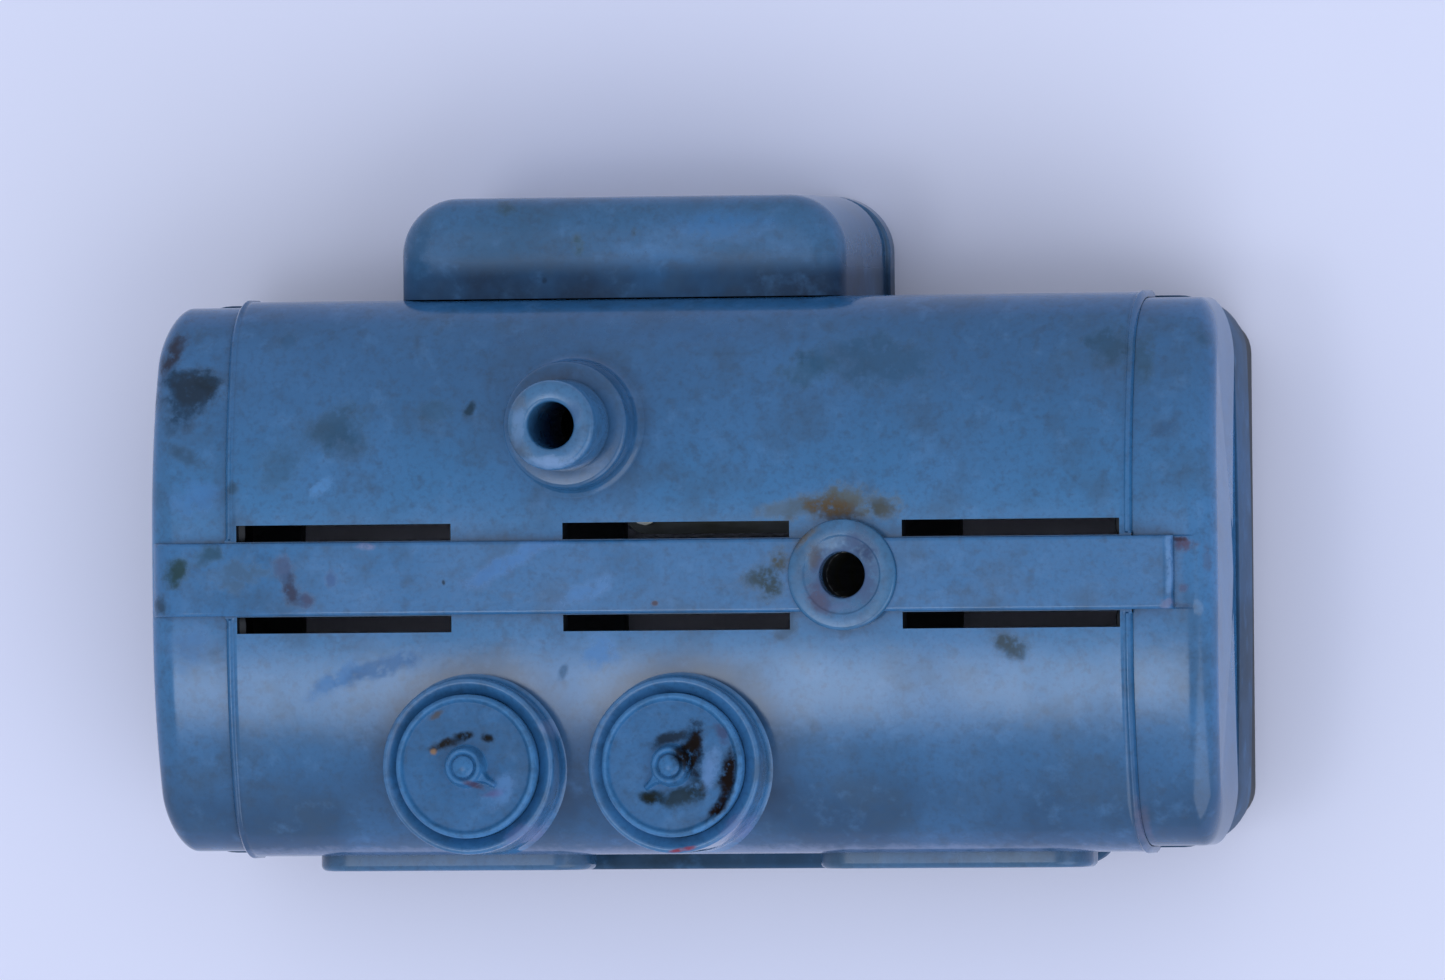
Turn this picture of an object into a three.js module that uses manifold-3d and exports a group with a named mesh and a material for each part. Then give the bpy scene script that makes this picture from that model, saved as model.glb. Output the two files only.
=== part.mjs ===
// Compact garage door opener: a moulded casing over a chassis tray that carries a geared motor,
// a control board with two dials, a transformer and a terminal block.
// Millimetres. +X runs along the casing, +Y across it towards the hood, +Z from the back to the face.
// The origin is under the middle of the casing, on the plane that the unit lies or is mounted on.
import * as THREE from "three";
import { mergeVertices } from "three/addons/utils/BufferGeometryUtils.js";
import Module from "manifold-3d";

const wasm = await Module();
wasm.setup();

// ---------------------------------------------------------------- driving dimensions

const clearance = 0.3; // between a piece and the curved or turned piece that it seats against
const wall = 1.8; // moulded walls of the casing

// Casing
const caseLength = 99.2;
const caseWidth = 50.4;
const faceHeight = 27; // the flat middle of the face
const rimHeight = 8; // lower edge of the rim frame
const rimDepth = 7.3; // rim frame, along Z
const shoulderRadius = 6.5; // along both long edges of the face
const crownRadius = 55; // the gentle fall of the face towards its shoulders
const faceFlat = 11; // flat stretch of the face, under the strap and the vents
const capLength = 7.6; // each end cap, beyond the middle shell
const endStep = 0.5; // the end caps lie this much inside the middle shell
const endRun = 4.2; // rounding of the ends: along X,
const endPlanRadius = 5.2; // across Y
const endFaceRadius = 3.6; // and along Z
const beadWidth = 0.9;
const beadHeight = 0.2;

// Vents and strap
const strapWidth = 6.6;
const strapThickness = 0.9;
const strapInset = 3.8; // of its free end, from the end of the casing
const strapTailAngle = 50; // degrees that the other end follows round the end cap
const ventWidth = 1.5;
const ventMiddle = 21; // length of the middle vent of each row
const ventGap = 10.4; // between the vents of a row
const ventMargin = 0.2; // from the outer vents to the beads
const ventEdge = 0.1; // from the strap's edge to a vent
const eyeRadius = 5; // eye of the strap, for the fixing screw
const eyeHeight = 1.4;
const eyeX = 15.6;
const eyeRecessRadius = 3.6; // shallow seat of the screw's washer
const eyeRecessDepth = 0.15;
const fixingBore = 2.1; // radius, through the eye, the sleeve and the tray
const sleeveRadius = 3.1;

// Guide bush over the output hub
const hubX = -9.5;
const hubInset = 11.5; // of its axis, from the upper long side
const bushBossRadius = 5.85; // moulded boss that the bush stands on
const bushBossTop = 30;
const bushRadius = 4.05;
const bushTop = 35.5;
const bushBore = 2.12; // radius
const bushShankRadius = 3.1;
const bushShankDepth = 7.5; // below the boss's top

// Dials
const dialInset = 0.15; // of the collars, from the lower long side
const dialX = [-18.9, 0.2];
const dialAngle = [-28.5, -135.8]; // degrees, where the pointers stand
const collarRadius = 8.05;
const collarTop = 29;
const collarWell = 27.4; // floor inside the collar
const collarLip = 0.5; // rounding of its edge
const dialRadius = 6.5;
const dialTop = 30.7; // top of its rim
const dialRimWidth = 0.6;
const dialDish = 0.9; // depth of the dish inside the rim
const pointerHubRadius = 1.85;
const pointerHubHeight = 1.3; // above the rim
const pointerLength = 3.15;
const pointerWidth = 0.9;
const dialScrewRadius = 0.95;
const shaftRadius = 1.5;

// Terminal hood
const hoodX0 = -27.7;
const hoodX1 = 13.6;
const hoodDepth = 9.2; // along Y, from the long side
const hoodHeight = 20;
const hoodCorner = 5.2;
const hoodRound = 2.6; // edge of its face
const hoodLip = 0.45;
const hoodLipHeight = 1.2;

// Latch plates and rim flange on the lower long side
const latchLength = 25.2;
const latchX = 23.3;
const latchThickness = 1.4;
const latchBottom = 11.6;
const latchTop = 19;
const latchCorner = 3;
const flangeLength = 72.6;
const flangeThickness = 1.8;
const flangeHeight = 2;
const flangeCorner = 5;

// Chassis tray
const trayFloor = 1.6;
const trayWall = 1.6;
const trayWheelGap = 1.4; // from the top of its walls to the first wheel
const ledgeDepth = 1.3;
const ledgeWidth = 1.1;
const screwInset = 5.7; // of the case screws, from the end of the casing
const screwSideInset = 7; // and from its long side
const screwBossRadius = 2.8;
const screwRadius = 1.1;
const screwHeadRadius = 2.1;
const screwHeadHeight = 1.6;
const screwHeadSink = 0.4;
const screwTip = 22;

// Gear train: three equal stages in a row along X
const gearModule = 0.55;
const pinionTeeth = 9;
const wheelTeeth = 27;
const pressureAngle = THREE.MathUtils.degToRad(25);
const toothShare = 0.46; // of the pitch, which leaves the running backlash
const wheelThickness = 1.6;
const gearGap = 0.4; // along Z, between one stage and the next
const pinionLength = 4; // and the rise from one stage to the next
const hubRadius = 4;
const hubFlats = 3.5; // across the hexagon that takes the drive spindle
const gearHeadroom = 18.2; // from the inside of the face down to the end of the hub's bearing
const runningGap = 0.1; // radial, at shafts
const arborRadius = 0.75;
const motorRadius = 6.4;
const motorCapHeight = 0.9;
const bridgeThickness = 1.2;
const pillarRadius = 1;
const pillarOffset = 7.8; // from the row of gears

// Control board
const boardTop = 7.6;
const boardThickness = 1.6;
const boardGap = 1.3; // from the bosses of the case screws
const boardY1 = -6.2;
const potSide = 7.8;
const potHeight = 6.4;
const potNeckRadius = 2.8;
const potNeckHeight = 2;

// ---------------------------------------------------------------- derived sizes

const seam = rimHeight + rimDepth; // where the face shells meet the rim frame
const halfLength = caseLength / 2;
const halfWidth = caseWidth / 2;
const faceInside = faceHeight - wall;
const rimHalfWidth = halfWidth - endStep + 0.2; // the frame stands just proud of the end caps
const trayHalfX = halfLength - wall - clearance;
const trayHalfY = rimHalfWidth - wall - clearance;
const stageDistance = (gearModule * (pinionTeeth + wheelTeeth)) / 2;
const stageX = [hubX, hubX + stageDistance, hubX + 2 * stageDistance, hubX + 3 * stageDistance];
const hubBearing = faceInside - gearHeadroom;
const outputWheelZ = hubBearing + gearGap;
const secondWheelZ = outputWheelZ + pinionLength;
const firstWheelZ = secondWheelZ + pinionLength;
const trayHeight = firstWheelZ - trayWheelGap;
const motorTop = firstWheelZ - 2 * gearGap - motorCapHeight;
const bridgeZ = firstWheelZ + wheelThickness + 2 * gearGap;
const boardBottom = boardTop - boardThickness;
const dialBottom = collarWell + clearance;
const shaftTop = dialTop - 0.4;

const centerHalf = halfLength - capLength;
const strapEnd = halfLength - strapInset;
const screwX = halfLength - screwInset;
const screwY = halfWidth - screwSideInset;
const hubY = halfWidth - hubInset;
const dialY = dialInset + collarRadius - halfWidth;
const hoodTop = halfWidth + hoodDepth;
const boardX = screwX - screwBossRadius - boardGap;
const boardY0 = trayWall + 0.4 - trayHalfY;

// ---------------------------------------------------------------- materials

const paint = (color, roughness, metalness = 0) =>
  new THREE.MeshStandardMaterial({ color, roughness, metalness });
const casingBlue = paint(0x44709e, 0.42);
const frameBlue = paint(0x35597a, 0.5);
const trayGrey = paint(0x2b3037, 0.7);
const steel = paint(0xa9adb0, 0.35, 0.9);
const brass = paint(0xb6924a, 0.35, 0.9);
const nylon = paint(0xe6e1d3, 0.55);
const boardGreen = paint(0x2c5a3a, 0.6);
const blackPlastic = paint(0x1c1d20, 0.5);
const relayPlastic = paint(0x2a5f9a, 0.45);
const copper = paint(0x9a5a32, 0.4, 0.8);
const coreIron = paint(0x54565a, 0.55, 0.7);
const foilSleeve = paint(0x27313f, 0.4);
const terminalGreen = paint(0x3b7d4f, 0.5);

// ---------------------------------------------------------------- shapes

// A closed geometry as a solid that can be cut and joined.
function solid(geometry) {
  const bare = geometry.index ? geometry.toNonIndexed() : geometry.clone();
  bare.deleteAttribute("normal");
  bare.deleteAttribute("uv");
  const merged = mergeVertices(bare, 1e-4);
  return new wasm.Manifold(
    new wasm.Mesh({
      numProp: 3,
      vertProperties: merged.attributes.position.array,
      triVerts: new Uint32Array(merged.index.array),
    }),
  );
}

function block(x0, x1, y0, y1, z0, z1) {
  const box = new THREE.BoxGeometry(x1 - x0, y1 - y0, z1 - z0);
  return solid(box.translate((x0 + x1) / 2, (y0 + y1) / 2, (z0 + z1) / 2));
}

// A cylinder standing along Z; topRadius makes it a cone.
function rod(x, y, z0, z1, radius, sides = 16, topRadius = radius) {
  const cylinder = new THREE.CylinderGeometry(topRadius, radius, z1 - z0, sides);
  return solid(cylinder.rotateX(Math.PI / 2).translate(x, y, (z0 + z1) / 2));
}

// A solid of revolution about a Z axis, from (radius, z) points that start and end on the axis.
function turned(x, y, profile, sides = 32) {
  const points = profile.map(([radius, z]) => new THREE.Vector2(radius, z));
  return solid(new THREE.LatheGeometry(points, sides).rotateX(Math.PI / 2).translate(x, y, 0));
}

// An XY shape raised from z0 to z1.
function raised(shape, z0, z1, curveSegments = 4) {
  const slab = new THREE.ExtrudeGeometry(shape, { depth: z1 - z0, bevelEnabled: false, curveSegments });
  return solid(slab.translate(0, 0, z0));
}

function roundedRectangle(x0, x1, y0, y1, r) {
  const shape = new THREE.Shape();
  shape.absarc(x1 - r, y0 + r, r, -Math.PI / 2, 0);
  shape.absarc(x1 - r, y1 - r, r, 0, Math.PI / 2);
  shape.absarc(x0 + r, y1 - r, r, Math.PI / 2, Math.PI);
  shape.absarc(x0 + r, y0 + r, r, Math.PI, Math.PI * 1.5);
  return shape;
}

// A skin over rings that each hold the same number of points, closed by a flat cap at either end.
// flat names the two coordinates that draw the rings. Its faces point outwards whichever way the rings run.
function loft(rings, flat) {
  const count = rings[0].length;
  const points = rings.flat();
  const faces = [];
  for (let k = 0; k + 1 < rings.length; k++) {
    for (let i = 0; i < count; i++) {
      const a = k * count + i;
      const b = k * count + ((i + 1) % count);
      faces.push([a, b, b + count], [a, b + count, a + count]);
    }
  }
  const outline = rings[0].map((p) => new THREE.Vector2(p[flat[0]], p[flat[1]]));
  const last = (rings.length - 1) * count;
  const turn = THREE.ShapeUtils.isClockWise(outline) ? -1 : 1;
  for (const [a, b, c] of THREE.ShapeUtils.triangulateShape(outline, [])) {
    const area = outline[b].clone().sub(outline[a]).cross(outline[c].clone().sub(outline[a]));
    const [first, second] = area * turn > 0 ? [b, c] : [c, b];
    faces.push([a, second, first], [last + a, last + first, last + second]);
  }
  const sixfold = ([a, b, c]) => points[a].dot(points[b].clone().cross(points[c]));
  const volume = faces.reduce((sum, face) => sum + sixfold(face), 0);
  const geometry = new THREE.BufferGeometry().setFromPoints(points);
  geometry.setIndex(faces.flatMap(([a, b, c]) => (volume > 0 ? [a, b, c] : [a, c, b])));
  return solid(geometry);
}

// ---------------------------------------------------------------- the casing's section

// Sizes of the section: inset from the middle shell's own, in width and in height.
function sectionSizes(insetY, insetZ) {
  const half = halfWidth - insetY;
  const top = faceHeight - insetZ;
  const crown = crownRadius - insetZ;
  const shoulder = Math.max(shoulderRadius - Math.max(insetY, insetZ), 0.4);
  const crownCenter = top - crown;
  const reach = half - shoulder - faceFlat / 2;
  const shoulderCenter = crownCenter + Math.sqrt((crown - shoulder) ** 2 - reach ** 2);
  const tangent = Math.atan2(reach, shoulderCenter - crownCenter);
  return { half, top, crown, shoulder, crownCenter, shoulderCenter, tangent };
}

// The section as a closed (y, z) outline: walls, shoulders, crown and the flat middle, cut off at bottom.
function sectionOutline(insetY, insetZ, bottom) {
  const s = sectionSizes(insetY, insetZ);
  const crownSteps = 4;
  const shoulderSteps = 6;
  const side = [];
  for (let i = 0; i <= crownSteps; i++) {
    const t = (s.tangent * i) / crownSteps;
    side.push([faceFlat / 2 + s.crown * Math.sin(t), s.crownCenter + s.crown * Math.cos(t)]);
  }
  for (let i = 1; i <= shoulderSteps; i++) {
    const t = s.tangent + ((Math.PI / 2 - s.tangent) * i) / shoulderSteps;
    const y = s.half - s.shoulder + s.shoulder * Math.sin(t);
    side.push([y, s.shoulderCenter + s.shoulder * Math.cos(t)]);
  }
  side.push([s.half, bottom]);
  return [...side.map(([y, z]) => [-y, z]).reverse(), ...side];
}

const ringAt = (x, outline) => outline.map(([y, z]) => new THREE.Vector3(x, y, z));

// The section carried along X between two planes, inset outwards when the inset is negative.
function archBody(x0, x1, inset, bottom) {
  const outline = sectionOutline(inset, inset, bottom);
  return loft([ringAt(x0, outline), ringAt(x1, outline)], ["y", "z"]);
}

// The rounded end of the casing from x0 outwards, inset evenly for the hollow.
function endBody(x0, inset, bottom) {
  const steps = 7;
  const rings = [ringAt(x0, sectionOutline(endStep + inset, endStep + inset, bottom))];
  for (let i = 0; i <= steps; i++) {
    const t = (Math.PI / 2) * (i / steps);
    const x = halfLength - inset - endRun * (1 - Math.sin(t));
    const insetY = endStep + inset + endPlanRadius * (1 - Math.cos(t));
    const insetZ = endStep + inset + endFaceRadius * (1 - Math.cos(t));
    rings.push(ringAt(x, sectionOutline(insetY, insetZ, bottom)));
  }
  return loft(rings, ["y", "z"]);
}

// ---------------------------------------------------------------- assembly

const opener = new THREE.Group();

function add(name, body, material, group = opener) {
  const { numProp, vertProperties, triVerts } = body.getMesh();
  const position = new Float32Array((vertProperties.length / numProp) * 3);
  for (let i = 0; i < position.length / 3; i++) {
    position.set(vertProperties.subarray(i * numProp, i * numProp + 3), i * 3);
  }
  const geometry = new THREE.BufferGeometry();
  geometry.setAttribute("position", new THREE.BufferAttribute(position, 3));
  geometry.setIndex(new THREE.BufferAttribute(triVerts, 1));
  geometry.computeVertexNormals();
  const mesh = new THREE.Mesh(geometry, material);
  mesh.name = name;
  group.add(mesh);
}

// ---------------------------------------------------------------- middle shell

const ventReach = centerHalf - beadWidth - ventMargin;
const ventY = strapWidth / 2 + ventEdge;

// The vents on either side of the strap, from z0 to z1, each wider by margin all round.
function ventCutters(z0, z1, margin = 0) {
  const inner = ventMiddle / 2;
  const spans = [
    [-ventReach, -inner - ventGap],
    [-inner, inner],
    [inner + ventGap, ventReach],
  ];
  return spans.flatMap(([x0, x1]) => {
    const vent = block(x0 - margin, x1 + margin, ventY - margin, ventY + ventWidth + margin, z0, z1);
    return [vent, vent.mirror([0, 1, 0])];
  });
}

// Everything above the inner surface of the middle shell.
function aboveCeiling(body) {
  return body.subtract(archBody(-centerHalf, centerHalf, wall, 0));
}

function dialCollar(x) {
  const profile = [
    [0, shoulderRadius],
    [collarRadius + 0.15, shoulderRadius],
    [collarRadius, collarTop - collarLip],
    [collarRadius - collarLip / 3, collarTop - collarLip / 3],
    [collarRadius - collarLip, collarTop],
    [0, collarTop],
  ];
  return aboveCeiling(turned(x, dialY, profile, 40)).intersect(
    block(x - 10, x + 10, -halfWidth - beadHeight, 0, seam, collarTop),
  );
}

// The dial's well and the hole for its shaft.
function dialWell(x) {
  const well = rod(x, dialY, collarWell, collarTop + 1, dialRadius + clearance, 40);
  return well.add(rod(x, dialY, seam, collarTop, shaftRadius + clearance));
}

function bushBoss() {
  const profile = [
    [0, seam],
    [bushBossRadius + 0.15, seam],
    [bushBossRadius, bushBossTop - 0.4],
    [bushBossRadius - 0.4, bushBossTop],
    [0, bushBossTop],
  ];
  return aboveCeiling(turned(hubX, hubY, profile));
}

function middleShell() {
  let shell = archBody(-centerHalf, centerHalf, 0, seam);
  for (const side of [-1, 1]) {
    const [x0, x1] = [side * centerHalf, side * (centerHalf - beadWidth)].sort((a, b) => a - b);
    const bead = archBody(x0, x1, -beadHeight, seam);
    const halfGap = strapWidth / 2 + clearance;
    shell = shell.add(bead.subtract(block(x0 - 1, x1 + 1, -halfGap, halfGap, faceHeight, faceHeight + 2)));
  }
  shell = shell.subtract(archBody(-centerHalf - 1, centerHalf + 1, wall, seam - 1));
  for (const cutter of ventCutters(faceInside - 2, faceHeight + 2)) shell = shell.subtract(cutter);
  shell = shell.subtract(rod(eyeX, 0, faceInside - 2, faceHeight + 2, fixingBore));
  for (const x of dialX) shell = shell.add(dialCollar(x)).subtract(dialWell(x));
  return shell.add(bushBoss()).subtract(rod(hubX, hubY, seam, bushBossTop + 1, bushShankRadius, 32));
}
add("middle_shell", middleShell(), casingBlue);

// ---------------------------------------------------------------- end caps

function endCap(withStrapStop) {
  const body = endBody(centerHalf, 0, seam);
  const hollow = endBody(centerHalf - 1, wall, seam - 1);
  let cap = body.subtract(hollow);
  for (const y of [-screwY, screwY]) {
    const boss = rod(screwX, y, seam, faceHeight, screwBossRadius).intersect(body);
    cap = cap.add(boss).subtract(rod(screwX, y, seam - 1, screwTip + 0.5, screwRadius + runningGap, 12));
  }
  if (withStrapStop) {
    const start = strapEnd + clearance;
    const ledge = faceHeight - endFaceRadius;
    const band = block(start, halfLength - 1, -strapWidth / 2, strapWidth / 2, ledge, faceHeight + 1);
    cap = cap.add(endBody(centerHalf, -0.25, seam).intersect(band));
  }
  return cap;
}
add("right_end_cap", endCap(true), casingBlue);
add("left_end_cap", endCap(false).mirror([1, 0, 0]), casingBlue);

// ---------------------------------------------------------------- strap with the fixing eye

// The strap's side view in (x, z): flat over the shells, its tail bent round the left end cap.
function strapSide() {
  const capTop = faceHeight - endStep;
  const top = faceHeight + strapThickness;
  const step = centerHalf + clearance;
  const bend = halfLength - endRun;
  const bendSteps = 5;
  const chamfer = 0.4;
  const tail = (lift) =>
    Array.from({ length: bendSteps }, (_, k) => {
      const share = (k + 1) / bendSteps;
      const t = THREE.MathUtils.degToRad(strapTailAngle) * share;
      const away = clearance + lift * (1 - 0.6 * share);
      return [
        -bend - (endRun + away) * Math.sin(t),
        capTop - endFaceRadius + (endFaceRadius + away) * Math.cos(t),
      ];
    });
  return [
    [-step, faceHeight],
    [step, faceHeight],
    [step, capTop],
    [strapEnd, capTop],
    [strapEnd, top - chamfer],
    [strapEnd - chamfer, top],
    [-bend, top],
    ...tail(top - capTop),
    ...tail(0).reverse(),
    [-bend, capTop],
    [-step, capTop],
  ];
}

function strap() {
  const side = new THREE.Shape(strapSide().map(([x, z]) => new THREE.Vector2(x, z)));
  const bar = new THREE.ExtrudeGeometry(side, { depth: strapWidth, bevelEnabled: false });
  bar.rotateX(Math.PI / 2).translate(0, strapWidth / 2, 0);
  const eye = turned(eyeX, 0, [
    [0, faceHeight],
    [eyeRadius, faceHeight],
    [eyeRadius, faceHeight + eyeHeight - 0.2],
    [eyeRadius - 0.2, faceHeight + eyeHeight],
    [eyeRecessRadius, faceHeight + eyeHeight],
    [eyeRecessRadius, faceHeight + eyeHeight - eyeRecessDepth],
    [0, faceHeight + eyeHeight - eyeRecessDepth],
  ]);
  return solid(bar).add(eye).subtract(rod(eyeX, 0, faceHeight - 1, faceHeight + eyeHeight + 1, fixingBore));
}
add("strap", strap(), casingBlue);

// ---------------------------------------------------------------- rim frame, flange and latch plates

function rimFrame() {
  const outline = roundedRectangle(-halfLength, halfLength, -rimHalfWidth, rimHalfWidth, endPlanRadius);
  const inside = roundedRectangle(
    -halfLength + wall,
    halfLength - wall,
    -rimHalfWidth + wall,
    rimHalfWidth - wall,
    endPlanRadius - wall,
  );
  const flangeHalf = flangeLength / 2;
  const flangeY = -rimHalfWidth - flangeThickness;
  const flange = new THREE.Shape();
  flange.moveTo(-flangeHalf, -rimHalfWidth + wall);
  flange.quadraticCurveTo(-flangeHalf, flangeY, -flangeHalf + flangeCorner, flangeY);
  flange.lineTo(flangeHalf - flangeCorner, flangeY);
  flange.quadraticCurveTo(flangeHalf, flangeY, flangeHalf, -rimHalfWidth + wall);
  const frame = raised(outline, rimHeight, seam).add(raised(flange, rimHeight, rimHeight + flangeHeight));
  return frame.subtract(raised(inside, rimHeight - 1, seam + 1));
}
add("rim_frame", rimFrame(), frameBlue);

function latchPlate(x) {
  const [x0, x1] = [x - latchLength / 2, x + latchLength / 2];
  const face = roundedRectangle(x0, x1, latchBottom, latchTop, latchCorner);
  const plate = new THREE.ExtrudeGeometry(face, {
    depth: latchThickness - 0.5,
    bevelEnabled: true,
    bevelThickness: 0.5,
    bevelSize: 0.5,
    bevelOffset: -0.5,
    bevelSegments: 2,
    curveSegments: 4,
  });
  plate.rotateX(Math.PI / 2).translate(0, -halfWidth, 0);
  return solid(plate).intersect(block(x0, x1, -halfWidth - latchThickness - 1, -halfWidth, 0, faceHeight));
}
add("latch_plate_left", latchPlate(-latchX), casingBlue);
add("latch_plate_right", latchPlate(latchX), casingBlue);

// ---------------------------------------------------------------- terminal hood

// A ring of the hood's outline at one height: rounded on the outer side, square towards the casing.
function hoodRing(inset, z, innerY) {
  const x0 = hoodX0 + inset;
  const x1 = hoodX1 - inset;
  const y1 = hoodTop - inset;
  const r = Math.max(hoodCorner - inset, 0.3);
  const steps = 6;
  const ring = [new THREE.Vector3(x0, innerY, z), new THREE.Vector3(x1, innerY, z)];
  for (let i = 0; i <= steps; i++) {
    const t = (Math.PI / 2) * (i / steps);
    ring.push(new THREE.Vector3(x1 - r + r * Math.cos(t), y1 - r + r * Math.sin(t), z));
  }
  for (let i = 0; i <= steps; i++) {
    const t = (Math.PI / 2) * (1 + i / steps);
    ring.push(new THREE.Vector3(x0 + r + r * Math.cos(t), y1 - r + r * Math.sin(t), z));
  }
  return ring;
}

function hoodBody(inset, z0, innerY) {
  const steps = 5;
  const rings = [hoodRing(inset, z0, innerY)];
  for (let i = 0; i <= steps; i++) {
    const t = (Math.PI / 2) * (i / steps);
    const edge = hoodRound * (1 - Math.cos(t));
    rings.push(hoodRing(inset + edge, hoodHeight - inset - hoodRound * (1 - Math.sin(t)), innerY));
  }
  return loft(rings, ["x", "y"]);
}

function hood() {
  const innerY = halfWidth + clearance;
  const lip = loft([hoodRing(-hoodLip, 0, innerY), hoodRing(-hoodLip, hoodLipHeight, innerY)], ["x", "y"]);
  const hollow = hoodBody(wall, -1, innerY - 1);
  return hoodBody(0, 0, innerY).add(lip).subtract(hollow);
}
add("terminal_hood", hood(), casingBlue);

// ---------------------------------------------------------------- chassis tray

const pillars = [
  [(stageX[0] + stageX[1]) / 2, hubY - pillarOffset],
  [(stageX[2] + stageX[3]) / 2, hubY - pillarOffset],
  [(stageX[1] + stageX[2]) / 2, hubY + pillarOffset],
];
const boardPillars = [
  [-boardX + 4, boardY1 - 3.2],
  [boardX - 4, boardY1 - 3.2],
  [-boardX + 4, boardY0 + 3.2],
  [boardX - 4, boardY0 + 3.2],
];
const bayX0 = hoodX0 + wall + clearance;
const bayX1 = hoodX1 - wall - clearance;
const bayY1 = hoodTop - wall - clearance;
const firstArborFoot = firstWheelZ - pinionLength - gearGap;
const secondArborFoot = outputWheelZ - gearGap / 2;

function tray() {
  const outline = (grow) =>
    roundedRectangle(
      -trayHalfX - grow,
      trayHalfX + grow,
      -trayHalfY - grow,
      trayHalfY + grow,
      Math.max(endPlanRadius - wall - clearance + grow, 0.5),
    );
  let body = raised(outline(0), 0, trayHeight);
  body = body.add(raised(outline(ledgeWidth), rimHeight - ledgeDepth, rimHeight));
  body = body.subtract(raised(outline(-trayWall), trayFloor, trayHeight + 1));
  const bayCorner = hoodCorner - wall - clearance;
  body = body.add(raised(roundedRectangle(bayX0, bayX1, trayHalfY - 9, bayY1, bayCorner), 0, trayFloor));
  for (const x of [-screwX, screwX]) {
    for (const y of [-screwY, screwY]) body = body.add(rod(x, y, 0, seam - clearance, screwBossRadius));
  }
  for (const [x, y] of pillars) body = body.add(rod(x, y, 0, bridgeZ, pillarRadius, 12));
  for (const [x, y] of boardPillars) body = body.add(rod(x, y, 0, boardBottom, 2, 12));
  body = body.add(rod(hubX, hubY, 0, hubBearing, hubRadius + runningGap + 1.5, 24));
  body = body.add(rod(stageX[2], hubY, 0, firstArborFoot, 2));
  body = body.add(rod(stageX[1], hubY, 0, secondArborFoot, 1.8));
  // Openings: wire window to the hood, vents, bearing, arbor seats, fixing hole and screw holes
  const [windowX0, windowX1] = [bayX0 + 4, pillars[2][0] - 2];
  body = body.subtract(block(windowX0, windowX1, trayHalfY - 2, trayHalfY + 2, 3, trayHeight + 1));
  for (const cutter of ventCutters(-1, trayFloor + 0.5, 0.4)) body = body.subtract(cutter);
  body = body.subtract(rod(hubX, hubY, -1, hubBearing + 1, hubRadius + runningGap, 24));
  body = body.subtract(rod(stageX[2], hubY, trayFloor, firstArborFoot + 1, arborRadius + 0.02, 10));
  body = body.subtract(rod(stageX[1], hubY, trayFloor, secondArborFoot + 1, arborRadius + 0.02, 10));
  body = body.subtract(rod(eyeX, 0, -1, trayFloor + 1, fixingBore));
  for (const [x, y] of pillars) body = body.subtract(rod(x, y, bridgeZ - 4, bridgeZ + 1, 0.62, 8));
  for (const [x, y] of boardPillars) body = body.subtract(rod(x, y, 2, boardBottom + 1, 0.82, 8));
  for (const x of [-screwX, screwX]) {
    for (const y of [-screwY, screwY]) {
      body = body.subtract(rod(x, y, -1, screwHeadSink + screwHeadHeight + 0.02, screwHeadRadius + 0.15));
      body = body.subtract(rod(x, y, 0, seam + 1, screwRadius + runningGap, 12));
    }
  }
  return body;
}
add("chassis_tray", tray(), trayGrey);

// A headed screw along Z, its head at headZ and its tip at tipZ, with a slot across the head.
function screw(x, y, headZ, tipZ, headRadius, radius, headHeight) {
  const way = Math.sign(tipZ - headZ);
  const span = (a, b) => (way > 0 ? [a, b] : [b, a]);
  const shank = rod(x, y, ...span(headZ, tipZ), radius, 8);
  const head = rod(x, y, ...span(headZ, headZ + way * headHeight), headRadius, 12);
  const slotDepth = span(headZ - way, headZ + way * headHeight * 0.4);
  const slot = block(x - headRadius, x + headRadius, y - 0.2, y + 0.2, ...slotDepth);
  return shank.add(head).subtract(slot);
}

const caseScrew = (x, y) =>
  screw(x, y, screwHeadSink, screwTip, screwHeadRadius, screwRadius, screwHeadHeight);
add("case_screw_top_left", caseScrew(-screwX, screwY), steel);
add("case_screw_top_right", caseScrew(screwX, screwY), steel);
add("case_screw_bottom_left", caseScrew(-screwX, -screwY), steel);
add("case_screw_bottom_right", caseScrew(screwX, -screwY), steel);

// ---------------------------------------------------------------- fixing sleeve and guide bush

add(
  "fixing_sleeve",
  rod(eyeX, 0, trayFloor, faceInside, sleeveRadius).subtract(rod(eyeX, 0, 0, faceHeight, fixingBore)),
  steel,
);

function guideBush() {
  const profile = [
    [0, bushBossTop - bushShankDepth],
    [bushShankRadius - 0.05, bushBossTop - bushShankDepth],
    [bushShankRadius - 0.05, bushBossTop],
    [bushRadius + 0.1, bushBossTop],
    [bushRadius, bushTop - 0.3],
    [bushRadius - 0.3, bushTop],
    [0, bushTop],
  ];
  return turned(hubX, hubY, profile).subtract(rod(hubX, hubY, seam, bushTop + 1, bushBore, 24));
}
add("guide_bush", guideBush(), casingBlue);

// ---------------------------------------------------------------- dials

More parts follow.
